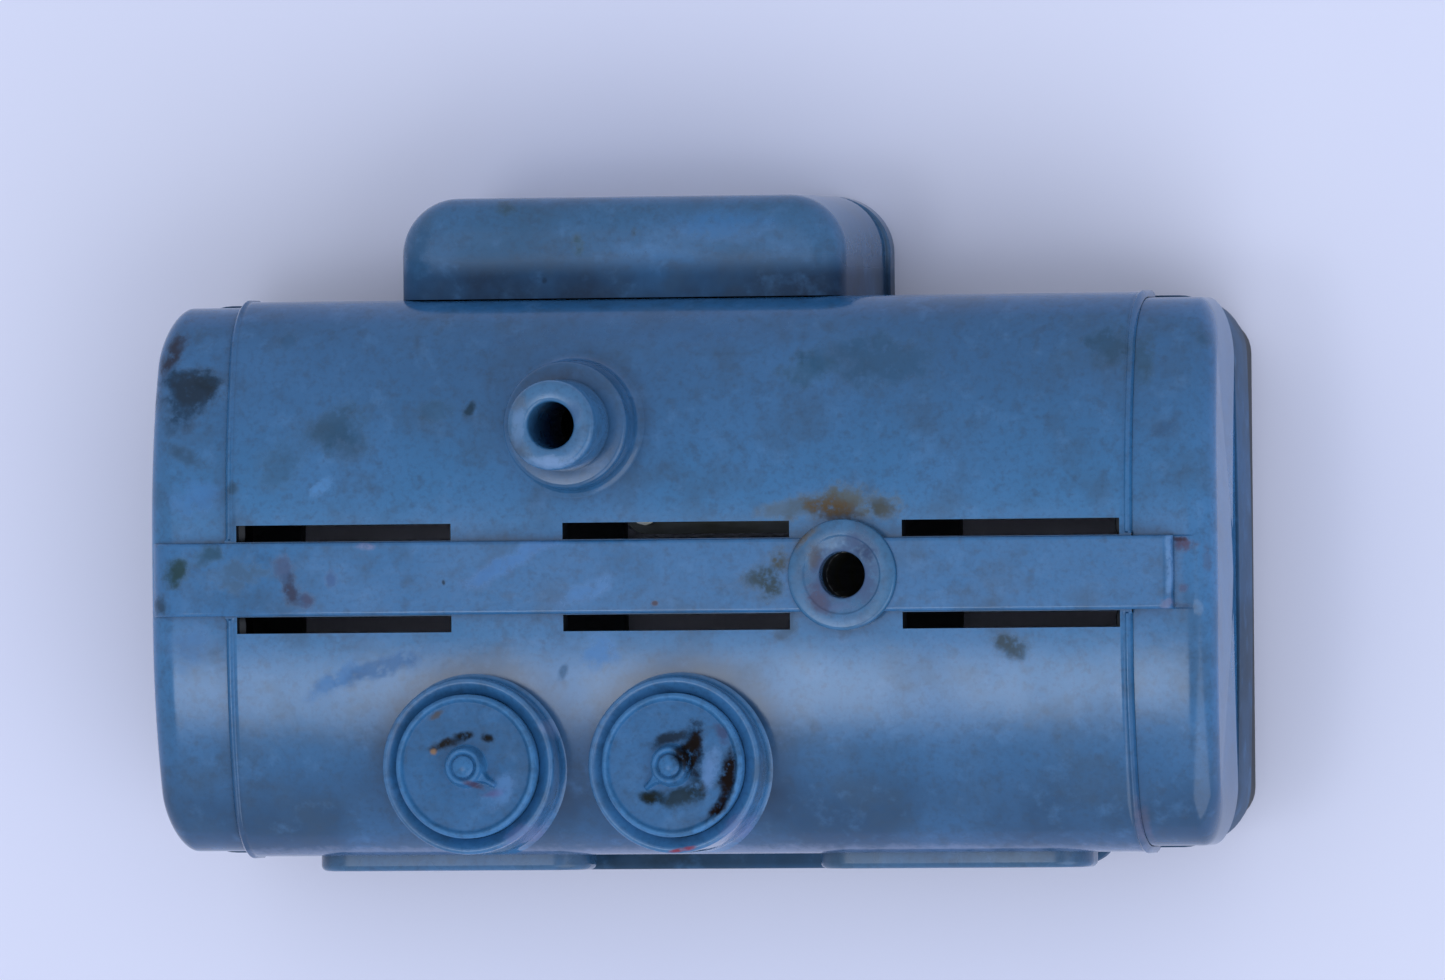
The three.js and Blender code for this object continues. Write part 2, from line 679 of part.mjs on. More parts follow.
// Dish, rim, hub and pointer, turned to its angle about the dial's own axis.
function dial(x, angle) {
  const floor = dialTop - dialDish;
  const hubTop = dialTop + pointerHubHeight;
  const dish = turned(
    0,
    0,
    [
      [0, dialBottom],
      [dialRadius, dialBottom],
      [dialRadius, dialTop - 0.3],
      [dialRadius - 0.3, dialTop],
      [dialRadius - dialRimWidth, dialTop],
      [dialRadius - dialRimWidth - 0.3, floor],
      [pointerHubRadius + 1.2, floor + 0.1],
      [pointerHubRadius + 0.3, floor + 0.5],
      [pointerHubRadius, hubTop - 0.3],
      [pointerHubRadius - 0.2, hubTop],
      [0, hubTop],
    ],
    36,
  );
  const pointer = new THREE.Shape();
  pointer.moveTo(pointerHubRadius * 0.6, -pointerWidth);
  pointer.lineTo(pointerLength - pointerWidth / 2, -pointerWidth / 2);
  pointer.absarc(pointerLength - pointerWidth / 2, 0, pointerWidth / 2, -Math.PI / 2, Math.PI / 2);
  pointer.lineTo(pointerHubRadius * 0.6, pointerWidth);
  const body = dish
    .add(raised(pointer, floor - 0.2, hubTop - 0.5, 4))
    .subtract(rod(0, 0, dialBottom - 1, shaftTop + 0.05, shaftRadius + 0.02))
    .subtract(rod(0, 0, hubTop - 0.6, hubTop + 1, dialScrewRadius + 0.25))
    .subtract(rod(0, 0, dialBottom, hubTop + 1, 0.5, 12));
  return body.rotate([0, 0, angle]).translate([x, dialY, 0]);
}

// The screw that holds a dial to its shaft: a domed head in the hub's recess.
function dialScrew(x) {
  const seat = dialTop + pointerHubHeight - 0.6;
  const domeHeight = 0.9;
  const profile = [
    [0, shaftTop + 0.06],
    [0.42, shaftTop + 0.06],
    [0.42, seat],
    [dialScrewRadius, seat],
  ];
  for (let i = 0; i <= 3; i++) {
    const t = (Math.PI / 2) * (i / 3);
    profile.push([dialScrewRadius * Math.cos(t), seat + domeHeight * (0.35 + 0.65 * Math.sin(t))]);
  }
  return turned(x, dialY, profile, 16);
}

const potTop = boardTop + potHeight + potNeckHeight;

function potBody(x) {
  const half = potSide / 2;
  const can = roundedRectangle(x - half, x + half, dialY - half, dialY + half, 0.8);
  return raised(can, boardTop, boardTop + potHeight, 2)
    .add(rod(x, dialY, boardTop, potTop, potNeckRadius))
    .subtract(rod(x, dialY, boardTop + 2, potTop + 1, shaftRadius + runningGap));
}

["left", "right"].forEach((side, k) => {
  add(`dial_${side}`, dial(dialX[k], dialAngle[k]), casingBlue);
  add(`dial_screw_${side}`, dialScrew(dialX[k]), casingBlue);
  add(`dial_shaft_${side}`, rod(dialX[k], dialY, boardTop + 2.2, shaftTop, shaftRadius), steel);
  add(`potentiometer_${side}`, potBody(dialX[k]), blackPlastic);
});

// ---------------------------------------------------------------- gear train

// Outline of a spur gear with involute flanks, a gap or a tooth centred on +X by phase.
function gearShape(teeth, phase) {
  const pitch = (gearModule * teeth) / 2;
  const base = pitch * Math.cos(pressureAngle);
  const tip = pitch + gearModule;
  const root = pitch - 1.25 * gearModule;
  const involute = (angle) => Math.tan(angle) - angle;
  const halfTooth = (Math.PI * 2 * toothShare) / teeth / 2;
  const halfAt = (radius) =>
    radius <= base
      ? halfTooth + involute(pressureAngle)
      : halfTooth + involute(pressureAngle) - involute(Math.acos(base / radius));
  const radii = [root, pitch, tip];
  const points = [];
  for (let k = 0; k < teeth; k++) {
    const middle = phase + (2 * Math.PI * k) / teeth;
    for (const r of radii) points.push([r, middle - halfAt(r)]);
    for (const r of [...radii].reverse()) points.push([r, middle + halfAt(r)]);
  }
  return new THREE.Shape(points.map(([r, a]) => new THREE.Vector2(r * Math.cos(a), r * Math.sin(a))));
}

const gear = (teeth, phase, z0, z1) => raised(gearShape(teeth, phase), z0, z1);
const gapAhead = Math.PI / wheelTeeth;

// A wheel above its pinion on one arbor.
function compoundGear(x, wheelZ) {
  const body = gear(wheelTeeth, gapAhead, wheelZ, wheelZ + wheelThickness).add(
    gear(pinionTeeth, Math.PI, wheelZ - pinionLength, wheelZ + 0.1),
  );
  return body
    .subtract(rod(0, 0, 0, faceHeight, arborRadius + runningGap, 10))
    .translate([x, hubY, 0]);
}

function outputHub() {
  const hexagon = rod(0, 0, -1, faceHeight, hubFlats / Math.sqrt(3), 6);
  const body = gear(wheelTeeth, gapAhead, outputWheelZ, outputWheelZ + wheelThickness).add(
    rod(0, 0, 0.2, outputWheelZ + wheelThickness + 1, hubRadius, 24),
  );
  return body.subtract(hexagon).translate([hubX, hubY, 0]);
}

const motorX = stageX[3];

function rotor() {
  const bottom = firstWheelZ - gearGap;
  return gear(pinionTeeth, Math.PI, bottom, firstWheelZ + wheelThickness + gearGap)
    .add(rod(0, 0, motorTop - 6, bridgeZ - gearGap / 2, 1, 16))
    .translate([motorX, hubY, 0]);
}

function motorCan() {
  const can = rod(motorX, hubY, trayFloor, motorTop, motorRadius, 28);
  return can.subtract(rod(motorX, hubY, motorTop - 7, motorTop + 1, 1 + runningGap, 12));
}

function motorCap() {
  const cap = rod(motorX, hubY, motorTop, motorTop + motorCapHeight, 3);
  return cap.subtract(rod(motorX, hubY, 0, faceHeight, 1 + runningGap, 12));
}

function arbor(x, footZ) {
  return rod(x, hubY, trayFloor + 0.5 * (footZ - trayFloor), bridgeZ + bridgeThickness, arborRadius, 10);
}

function bridge() {
  const plate = new THREE.Shape();
  const [a, b, c] = pillars;
  const r = 2.1;
  plate.absarc(a[0], a[1], r, Math.PI * 0.9, Math.PI * 1.5);
  plate.absarc(b[0], b[1], r, Math.PI * 1.5, Math.PI * 2);
  plate.absarc(motorX, hubY, 3.4, -Math.PI * 0.2, Math.PI * 0.35);
  plate.absarc(c[0], c[1] - 0.6, r, Math.PI * 0.3, Math.PI * 0.9);
  let body = raised(plate, bridgeZ, bridgeZ + bridgeThickness);
  for (const x of [stageX[1], stageX[2]]) {
    body = body.subtract(rod(x, hubY, bridgeZ - 1, bridgeZ + 3, arborRadius + 0.02, 10));
  }
  body = body.subtract(rod(motorX, hubY, bridgeZ - 1, bridgeZ + 3, 1.4, 16));
  for (const [x, y] of pillars) body = body.subtract(rod(x, y, bridgeZ - 1, bridgeZ + 3, 0.75, 8));
  return body;
}

add("output_hub", outputHub(), nylon);
add("second_gear", compoundGear(stageX[1], secondWheelZ), nylon);
add("first_gear", compoundGear(stageX[2], firstWheelZ), nylon);
add("motor_rotor", rotor(), brass);
add("motor_can", motorCan(), steel);
add("motor_cap", motorCap(), blackPlastic);
add("first_arbor", arbor(stageX[2], firstArborFoot), steel);
add("second_arbor", arbor(stageX[1], secondArborFoot), steel);
add("gear_bridge", bridge(), steel);
pillars.forEach(([x, y], k) => {
  const headTop = bridgeZ + bridgeThickness + 0.9;
  add(`bridge_screw_${k + 1}`, screw(x, y, headTop, bridgeZ - 3.5, 1.3, 0.6, 0.9), steel);
});

// ---------------------------------------------------------------- control board

function controlBoard() {
  let board = raised(roundedRectangle(-boardX, boardX, boardY0, boardY1, 1), boardBottom, boardTop, 3);
  for (const [x, y] of boardPillars) board = board.subtract(rod(x, y, 0, faceHeight, 1, 12));
  return board;
}
add("control_board", controlBoard(), boardGreen);
boardPillars.forEach(([x, y], k) => {
  add(`board_screw_${k + 1}`, screw(x, y, boardTop + 1, 3, 1.6, 0.8, 1), steel);
});

// Parts on the board: blocks from their corner nearest the origin of the board, and round cans.
const blockOnBoard = (b) =>
  block(b.x, b.x + b.length, b.y, b.y + b.width, boardTop, boardTop + b.height);
const canOnBoard = (c) => rod(c.x, c.y, boardTop, boardTop + c.height, c.radius, 24);
const edgeGap = 1.2; // from a part to the board's edge
const chip = { length: 9.6, width: 3.8, height: 2 };
const radio = { length: 14, width: 1.4, height: 9 };
const smoothing = { radius: 4, height: 12 };
const timing = { radius: 2.3, height: 8 };
const relay = { width: 10, height: 12 };
smoothing.x = boardX - smoothing.radius - 5.3;
smoothing.y = boardY0 + edgeGap + smoothing.radius;
timing.x = (dialX[0] - potSide / 2 + boardPillars[0][0]) / 2;
timing.y = boardY0 + edgeGap + timing.radius;
relay.x = dialX[1] + potSide / 2 + 6;
relay.y = boardY0 + edgeGap;
relay.length = smoothing.x - smoothing.radius - 1.9 - relay.x;
chip.x = boardPillars[0][0] + 2 * edgeGap;
chip.y = boardY1 - edgeGap - chip.width;
radio.x = relay.x - edgeGap - radio.length;
radio.y = boardY1 - 2 * edgeGap - radio.width;
add("relay", blockOnBoard(relay), relayPlastic);
add("control_chip", blockOnBoard(chip), blackPlastic);
add("radio_module", blockOnBoard(radio), boardGreen);
add("smoothing_capacitor", canOnBoard(smoothing), foilSleeve);
add("timing_capacitor", canOnBoard(timing), foilSleeve);

// ---------------------------------------------------------------- transformer, capacitor and terminals

const wheelTip = gearModule * (wheelTeeth / 2 + 1);
const sideLimit = trayHalfY - trayWall; // inner face of the tray's upper wall
const ventLimit = ventY + ventWidth + 2; // keeps the way behind the vents clear
const transformer = {
  x0: screwBossRadius + 1.1 - screwX,
  x1: hubX - wheelTip - 1.5,
  y0: ventLimit,
  y1: sideLimit - 1.7,
  z0: trayFloor,
  z1: trayFloor + 17.4,
  leg: 5,
  yoke: 2.6,
};

function transformerCore() {
  const t = transformer;
  const middle = (t.x0 + t.x1) / 2;
  let core = block(t.x0, t.x1, t.y0, t.y1, t.z0, t.z1);
  for (const [x0, x1] of [[t.x0 + t.yoke, middle - t.leg / 2], [middle + t.leg / 2, t.x1 - t.yoke]]) {
    core = core.subtract(block(x0, x1, t.y0 - 1, t.y1 + 1, t.z0 + t.yoke, t.z1 - t.yoke));
  }
  return core;
}

function transformerWinding() {
  const t = transformer;
  const middle = (t.x0 + t.x1) / 2;
  const gap = clearance;
  const outer = roundedRectangle(t.x0 + t.yoke + gap, t.x1 - t.yoke - gap, t.y0 - 1.1, t.y1 + 1.4, 2);
  const legGap = t.leg / 2 + gap;
  const inner = roundedRectangle(middle - legGap, middle + legGap, t.y0 - gap, t.y1 + gap, 0.4);
  const [z0, z1] = [t.z0 + t.yoke + gap, t.z1 - t.yoke - gap];
  return raised(outer, z0, z1, 4).subtract(raised(inner, z0 - 1, z1 + 1, 3));
}
add("transformer_core", transformerCore(), coreIron);
add("transformer_winding", transformerWinding(), copper);

// The motor's capacitor lies along Y between the motor and the case screws.
const capacitorX0 = motorX + motorRadius + 1.6;
const capacitorX1 = screwX - screwBossRadius - 1.3;
const capacitorRadius = (capacitorX1 - capacitorX0) / 2;
const capacitorLength = sideLimit - 0.8 - ventLimit;
const capacitorBody = new THREE.CylinderGeometry(capacitorRadius, capacitorRadius, capacitorLength, 28);
capacitorBody.translate(
  (capacitorX0 + capacitorX1) / 2,
  ventLimit + capacitorLength / 2,
  trayFloor + capacitorRadius + 0.05,
);
add("motor_capacitor", solid(capacitorBody), foilSleeve);

const terminals = { count: 5, pitch: 6, height: 9 };
terminals.y1 = bayY1 - 0.5;
terminals.y0 = terminals.y1 - 5.2;
const terminalMiddle = (bayX0 + bayX1) / 2;
const terminalX = (k) => terminalMiddle + (k - (terminals.count - 1) / 2) * terminals.pitch;

function terminalBlock() {
  const half = (terminals.count * terminals.pitch) / 2;
  const top = trayFloor + terminals.height;
  const middle = (terminals.y0 + terminals.y1) / 2;
  const [x0, x1] = [terminalMiddle - half, terminalMiddle + half];
  let body = block(x0, x1, terminals.y0, terminals.y1, trayFloor, top);
  for (let k = 0; k < terminals.count; k++) {
    const x = terminalX(k);
    body = body.subtract(rod(x, middle, top - 4, top + 1, 1.9, 12));
    body = body.subtract(block(x - 1.5, x + 1.5, terminals.y1 - 1.6, terminals.y1 + 1, 3.2, 5.6));
  }
  return body;
}
add("terminal_block", terminalBlock(), terminalGreen);
for (let k = 0; k < terminals.count; k++) {
  const top = trayFloor + terminals.height - 1;
  const body = screw(terminalX(k), (terminals.y0 + terminals.y1) / 2, top, top - 3, 1.7, 1, 1.4);
  add(`terminal_screw_${k + 1}`, body, steel);
}

export default opener;
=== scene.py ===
import math

import bmesh
import bpy
import numpy as np
from mathutils import Matrix, Vector


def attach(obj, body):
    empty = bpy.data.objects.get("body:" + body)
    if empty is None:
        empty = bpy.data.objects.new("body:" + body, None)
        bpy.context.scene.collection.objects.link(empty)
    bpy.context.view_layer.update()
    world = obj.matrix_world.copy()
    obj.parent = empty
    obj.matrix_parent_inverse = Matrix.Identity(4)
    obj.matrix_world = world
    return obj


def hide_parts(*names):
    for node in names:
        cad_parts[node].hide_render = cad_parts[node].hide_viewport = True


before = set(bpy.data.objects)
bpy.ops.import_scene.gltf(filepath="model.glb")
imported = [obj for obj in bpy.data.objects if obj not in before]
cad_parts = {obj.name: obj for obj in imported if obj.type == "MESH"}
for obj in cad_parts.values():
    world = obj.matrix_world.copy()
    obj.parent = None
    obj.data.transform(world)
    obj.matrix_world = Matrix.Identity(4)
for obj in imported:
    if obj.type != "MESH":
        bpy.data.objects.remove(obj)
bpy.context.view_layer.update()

# ------------------------------------------------------------------ camera
# A long lens stands over the face of the opener, leaning a little to its right-hand end,
# so the right-hand end wall shows as a narrow strip and the left-hand one not at all.
LEAN = math.radians(13.23)
ROLL = math.radians(0.55)
STAND_OFF = 2.0
aim = Vector((0.00438, 0.00772, 0.027))
back = Vector((math.sin(LEAN), 0, math.cos(LEAN)))
level = Vector((math.cos(LEAN), 0, -math.sin(LEAN)))
right = level * math.cos(ROLL) - Vector((0, math.sin(ROLL), 0))
upright = Vector((0, math.cos(ROLL), 0)) + level * math.sin(ROLL)
lens = bpy.data.cameras.new("long_lens")
lens.lens = 553.1
lens.sensor_width = 36
lens.clip_start, lens.clip_end = 0.05, 20
camera = bpy.data.objects.new("camera", lens)
bpy.context.collection.objects.link(camera)
camera.matrix_world = Matrix.Translation(aim + back * STAND_OFF) @ Matrix(
    ((right.x, upright.x, back.x), (right.y, upright.y, back.y), (right.z, upright.z, back.z))
).to_4x4()
bpy.context.scene.camera = camera


# ------------------------------------------------------------------ table and light
# The opener lies face up on a sheet of pale, slightly blue matt paper, big enough to fill every
# view. A pale room under a cool sky lights it evenly, a wide lamp stands off its lower side, and a
# small one overhead gives the long soft gleam along the lower half of the face.
def tint(code):
    """sRGB hex to linear RGBA: c / 12.92 up to 0.04045, above it ((c + 0.055) / 1.055) to the power 2.4."""
    srgb = np.array([int(code[i : i + 2], 16) for i in (1, 3, 5)]) / 255
    linear = np.where(srgb <= 0.04045, srgb / 12.92, ((srgb + 0.055) / 1.055) ** 2.4)
    return (*linear.tolist(), 1.0)


def add_node(tree, kind, inputs=(), **settings):
    """Adds a node, sets its properties, and sets or links its inputs, given as socket and value pairs."""
    made = tree.nodes.new(kind)
    for key, value in settings.items():
        setattr(made, key, value)
    for socket, value in dict(inputs).items():
        if isinstance(value, bpy.types.NodeSocket):
            tree.links.new(value, made.inputs[socket])
        else:
            made.inputs[socket].default_value = value
    return made


def new_finish(name):
    """A new material, its node tree, its shader, and the object coordinates that its patterns read."""
    finish = bpy.data.materials.new(name)
    finish.use_nodes = True
    tree = finish.node_tree
    place = add_node(tree, "ShaderNodeTexCoord").outputs["Object"]
    return finish, tree, tree.nodes["Principled BSDF"], place


room = bpy.data.worlds.new("pale_room")
room.use_nodes = True
room.node_tree.nodes["Background"].inputs["Color"].default_value = tint("#e7f0ff")
room.node_tree.nodes["Background"].inputs["Strength"].default_value = 0.75
bpy.context.scene.world = room
bpy.context.scene.view_settings.view_transform = "Standard"


def soft_lamp(name, size, radiance, toward, distance, code):
    """A square lamp that faces the opener from the direction toward; its power gives that radiance
    over its area."""
    lamp = bpy.data.lights.new(name, "AREA")
    lamp.size = size
    lamp.color = tint(code)[:3]
    lamp.energy = radiance * math.pi * size * size
    stand = bpy.data.objects.new(name, lamp)
    bpy.context.collection.objects.link(stand)
    away = Vector(toward).normalized()
    stand.location = Vector((0, 0, 0.02)) + away * distance
    stand.rotation_euler = away.to_track_quat("Z", "Y").to_euler()


soft_lamp("window", 2.4, 1.35, (0.5, -0.6, 0.64), 2.4, "#e7f0ff")
soft_lamp("overhead", 0.28, 4.5, (-0.2289, -0.175, 0.96), 1.3, "#eaf2ff")

paper_mesh = bpy.data.meshes.new("paper_sheet")
paper_mesh.from_pydata([(-4, -4, 0), (4, -4, 0), (4, 4, 0), (-4, 4, 0)], [], [(0, 1, 2, 3)])
paper = bpy.data.objects.new("paper_sheet", paper_mesh)
bpy.context.collection.objects.link(paper)
# Uncoated paper: matt, with a faint cloudiness in the sheet a few centimetres across.
uncoated, tree, shader, place = new_finish("uncoated_paper")
cloud = add_node(tree, "ShaderNodeTexNoise", {"Vector": place, "Scale": 22, "Detail": 2})
shade = add_node(
    tree, "ShaderNodeMix", {"Factor": cloud.outputs["Fac"], 6: tint("#e8e8fc"), 7: tint("#eeeefe")},
    data_type="RGBA",
)
tree.links.new(shade.outputs[2], shader.inputs["Base Color"])
shader.inputs["Roughness"].default_value = 0.9
paper_mesh.materials.append(uncoated)


# ------------------------------------------------------------------ middle shell
# The face of the opener: an arched moulding in blue ABS with 1.8 mm walls, shot in one piece with
# two rows of vents and a bead along each end. Its walls stand on the rim frame.
MM = 0.001
HALF_WIDTH, FACE, SEAM = 25.2, 27.0, 15.3
FLAT, CROWN, SHOULDER = 5.5, 55.0, 6.5
SHELL_HALF, WALL = 42.0, 1.8
BEAD_WIDTH, BEAD_HEIGHT, END_DROP = 0.85, 0.16, 0.44
VENT_EDGES = (3.4, 4.9)
VENT_SPANS = ((-40.9, -20.9), (-10.5, 10.5), (20.9, 40.9))
EYE_X, EYE_BORE = 15.6, 2.1
HUB_X, HUB_Y, HUB_BORE = -9.5, 13.7, 3.1
DIAL_X, DIAL_Y, SHAFT_HOLE = (-18.9, 0.2), -17.0, 1.8


def section_sizes(inset_y, inset_z):
    """Sizes of the face's section, set in by inset_y across and inset_z in height: half width, top,
    crown radius, shoulder radius, the heights of their two centres, and the angle where they meet."""
    half, top, crown = HALF_WIDTH - inset_y, FACE - inset_z, CROWN - inset_z
    shoulder = np.maximum(SHOULDER - np.maximum(inset_y, inset_z), 0.4)
    reach = half - shoulder - FLAT
    rise = np.sqrt((crown - shoulder) ** 2 - reach**2)
    return half, top, crown, shoulder, top - crown, top - crown + rise, np.arctan2(reach, rise)


def half_section(inset_y, inset_z, flat, crown, shoulder, wall):
    """Half of the section, from its middle outwards and down: a row for each parameter, a column for
    each inset. The flat lies at y = flat; the crown turns by the angle whose sine is that share of
    the meeting angle's; the shoulder turns on to a quarter turn; the wall drops to the seam."""
    half, top, r_crown, r_shoulder, z_crown, z_shoulder, meet = section_sizes(
        np.atleast_1d(inset_y), np.atleast_1d(inset_z)
    )
    flat, crown, shoulder, wall = (np.asarray(a, float)[:, None] for a in (flat, crown, shoulder, wall))
    over = np.arcsin(crown * np.sin(meet))
    round_ = meet + (np.pi / 2 - meet) * shoulder
    y = (
        flat + 0 * half, FLAT + r_crown * np.sin(over),
        half - r_shoulder + r_shoulder * np.sin(round_), half + 0 * wall,
    )
    z = (
        top + 0 * flat, z_crown + r_crown * np.cos(over),
        z_shoulder + r_shoulder * np.cos(round_), z_shoulder + (SEAM - z_shoulder) * wall,
    )
    return np.concatenate(y), np.concatenate(z)


def face_height(y):
    """Height of the middle shell's surface over y: flat, then the crown's circle, then the shoulder's."""
    _, _, r_crown, r_shoulder, z_crown, z_shoulder, meet = section_sizes(0.0, 0.0)
    off = np.abs(y)
    crown = z_crown + np.sqrt(r_crown**2 - np.clip(off - FLAT, 0, None) ** 2)
    out = np.clip(off - (HALF_WIDTH - r_shoulder), 0, r_shoulder)
    shoulder = z_shoulder + np.sqrt(r_shoulder**2 - out**2)
    return np.where(off < HALF_WIDTH - r_shoulder * (1 - math.sin(meet)), crown, shoulder)


def sheet(points, around=False, keep=None):
    """Quads between neighbouring rows and columns of a grid of points; around joins its last column
    to its first, and keep leaves out cells."""
    index = np.arange(points.shape[0] * points.shape[1]).reshape(points.shape[:2])
    if around:
        index = np.column_stack((index, index[:, :1]))
    quads = np.stack((index[:-1, :-1], index[:-1, 1:], index[1:, 1:], index[1:, :-1]), axis=-1)
    return points.reshape(-1, 3), quads[keep] if keep is not None else quads.reshape(-1, 4)


def mould(name, sheets, finish, inside=None, crease=38):
    """One mesh from sheets in millimetres: shared edge points are merged and faces turned outwards,
    away from the point inside where the mesh is an open shell."""
    starts = np.cumsum([0] + [len(points) for points, _ in sheets])
    points = np.concatenate([points for points, _ in sheets]) * MM
    quads = np.concatenate([quads + start for (_, quads), start in zip(sheets, starts)])
    shape = bpy.data.meshes.new(name)
    shape.from_pydata(points.tolist(), [], quads.tolist())
    work = bmesh.new()
    work.from_mesh(shape)
    bmesh.ops.remove_doubles(work, verts=work.verts, dist=3e-6)
    bmesh.ops.delete(work, geom=[v for v in work.verts if not v.link_faces], context="VERTS")
    bmesh.ops.recalc_face_normals(work, faces=work.faces)
    if inside is not None:
        middle = Vector(inside) * MM
        facing = sum(f.calc_area() * f.normal.dot(f.calc_center_median() - middle) for f in work.faces)
        if facing < 0:
            bmesh.ops.reverse_faces(work, faces=work.faces)
    work.to_mesh(shape)
    work.free()
    shape.polygons.foreach_set("use_smooth", np.ones(len(shape.polygons), bool))
    shape.set_sharp_from_angle(angle=math.radians(crease))
    shape.materials.append(finish)
    piece = bpy.data.objects.new(name, shape)
    bpy.context.collection.objects.link(piece)
    return piece


def thicken(piece, wall, edge=0.12):
    """Gives an open shell its wall, inwards, and a small radius along its cut edges. The inside and
    the cut edges, which light hardly reaches, take the near-black second finish: painted shade, with settled
    dust."""
    piece.data.materials.append(shade_painted_abs)
    skin = piece.modifiers.new("wall", "SOLIDIFY")
    skin.thickness = wall * MM
    skin.offset = -1
    skin.material_offset = skin.material_offset_rim = 1
    round_ = piece.modifiers.new("edge", "BEVEL")
    round_.width = edge * MM
    round_.segments = 3
    round_.limit_method = "ANGLE"
    round_.angle_limit = math.radians(50)
    round_.harden_normals = True


def spread(breaks, step):
    """The breaks, with even steps no longer than step between each and the next."""
    breaks = np.unique(np.round(breaks, 6))
    runs = [np.linspace(a, b, max(1, math.ceil((b - a) / step)) + 1)[:-1] for a, b in zip(breaks, breaks[1:])]
    return np.append(np.concatenate(runs), breaks[-1])


# ABS, injection moulded in a polished tool and years old: the eye sees a satin gloss broken by a
# fine orange peel, a blue mottled by dirt at five sizes, grime and painted shade in every corner, and soft
# stains.
# Each row of mottling is its width in mm, the two noise levels, its greatest amount and its colour.
MOTTLE = (
    (14, 0.35, 0.7, 0.5, "#3a6fa0"), (5.5, 0.46, 0.72, 0.5, "#2e4a64"), (2.6, 0.52, 0.74, 0.3, "#4f80b0"),
    (1.2, 0.48, 0.72, 0.4, "#2a4560"), (0.45, 0.46, 0.72, 0.3, "#224566"),
)


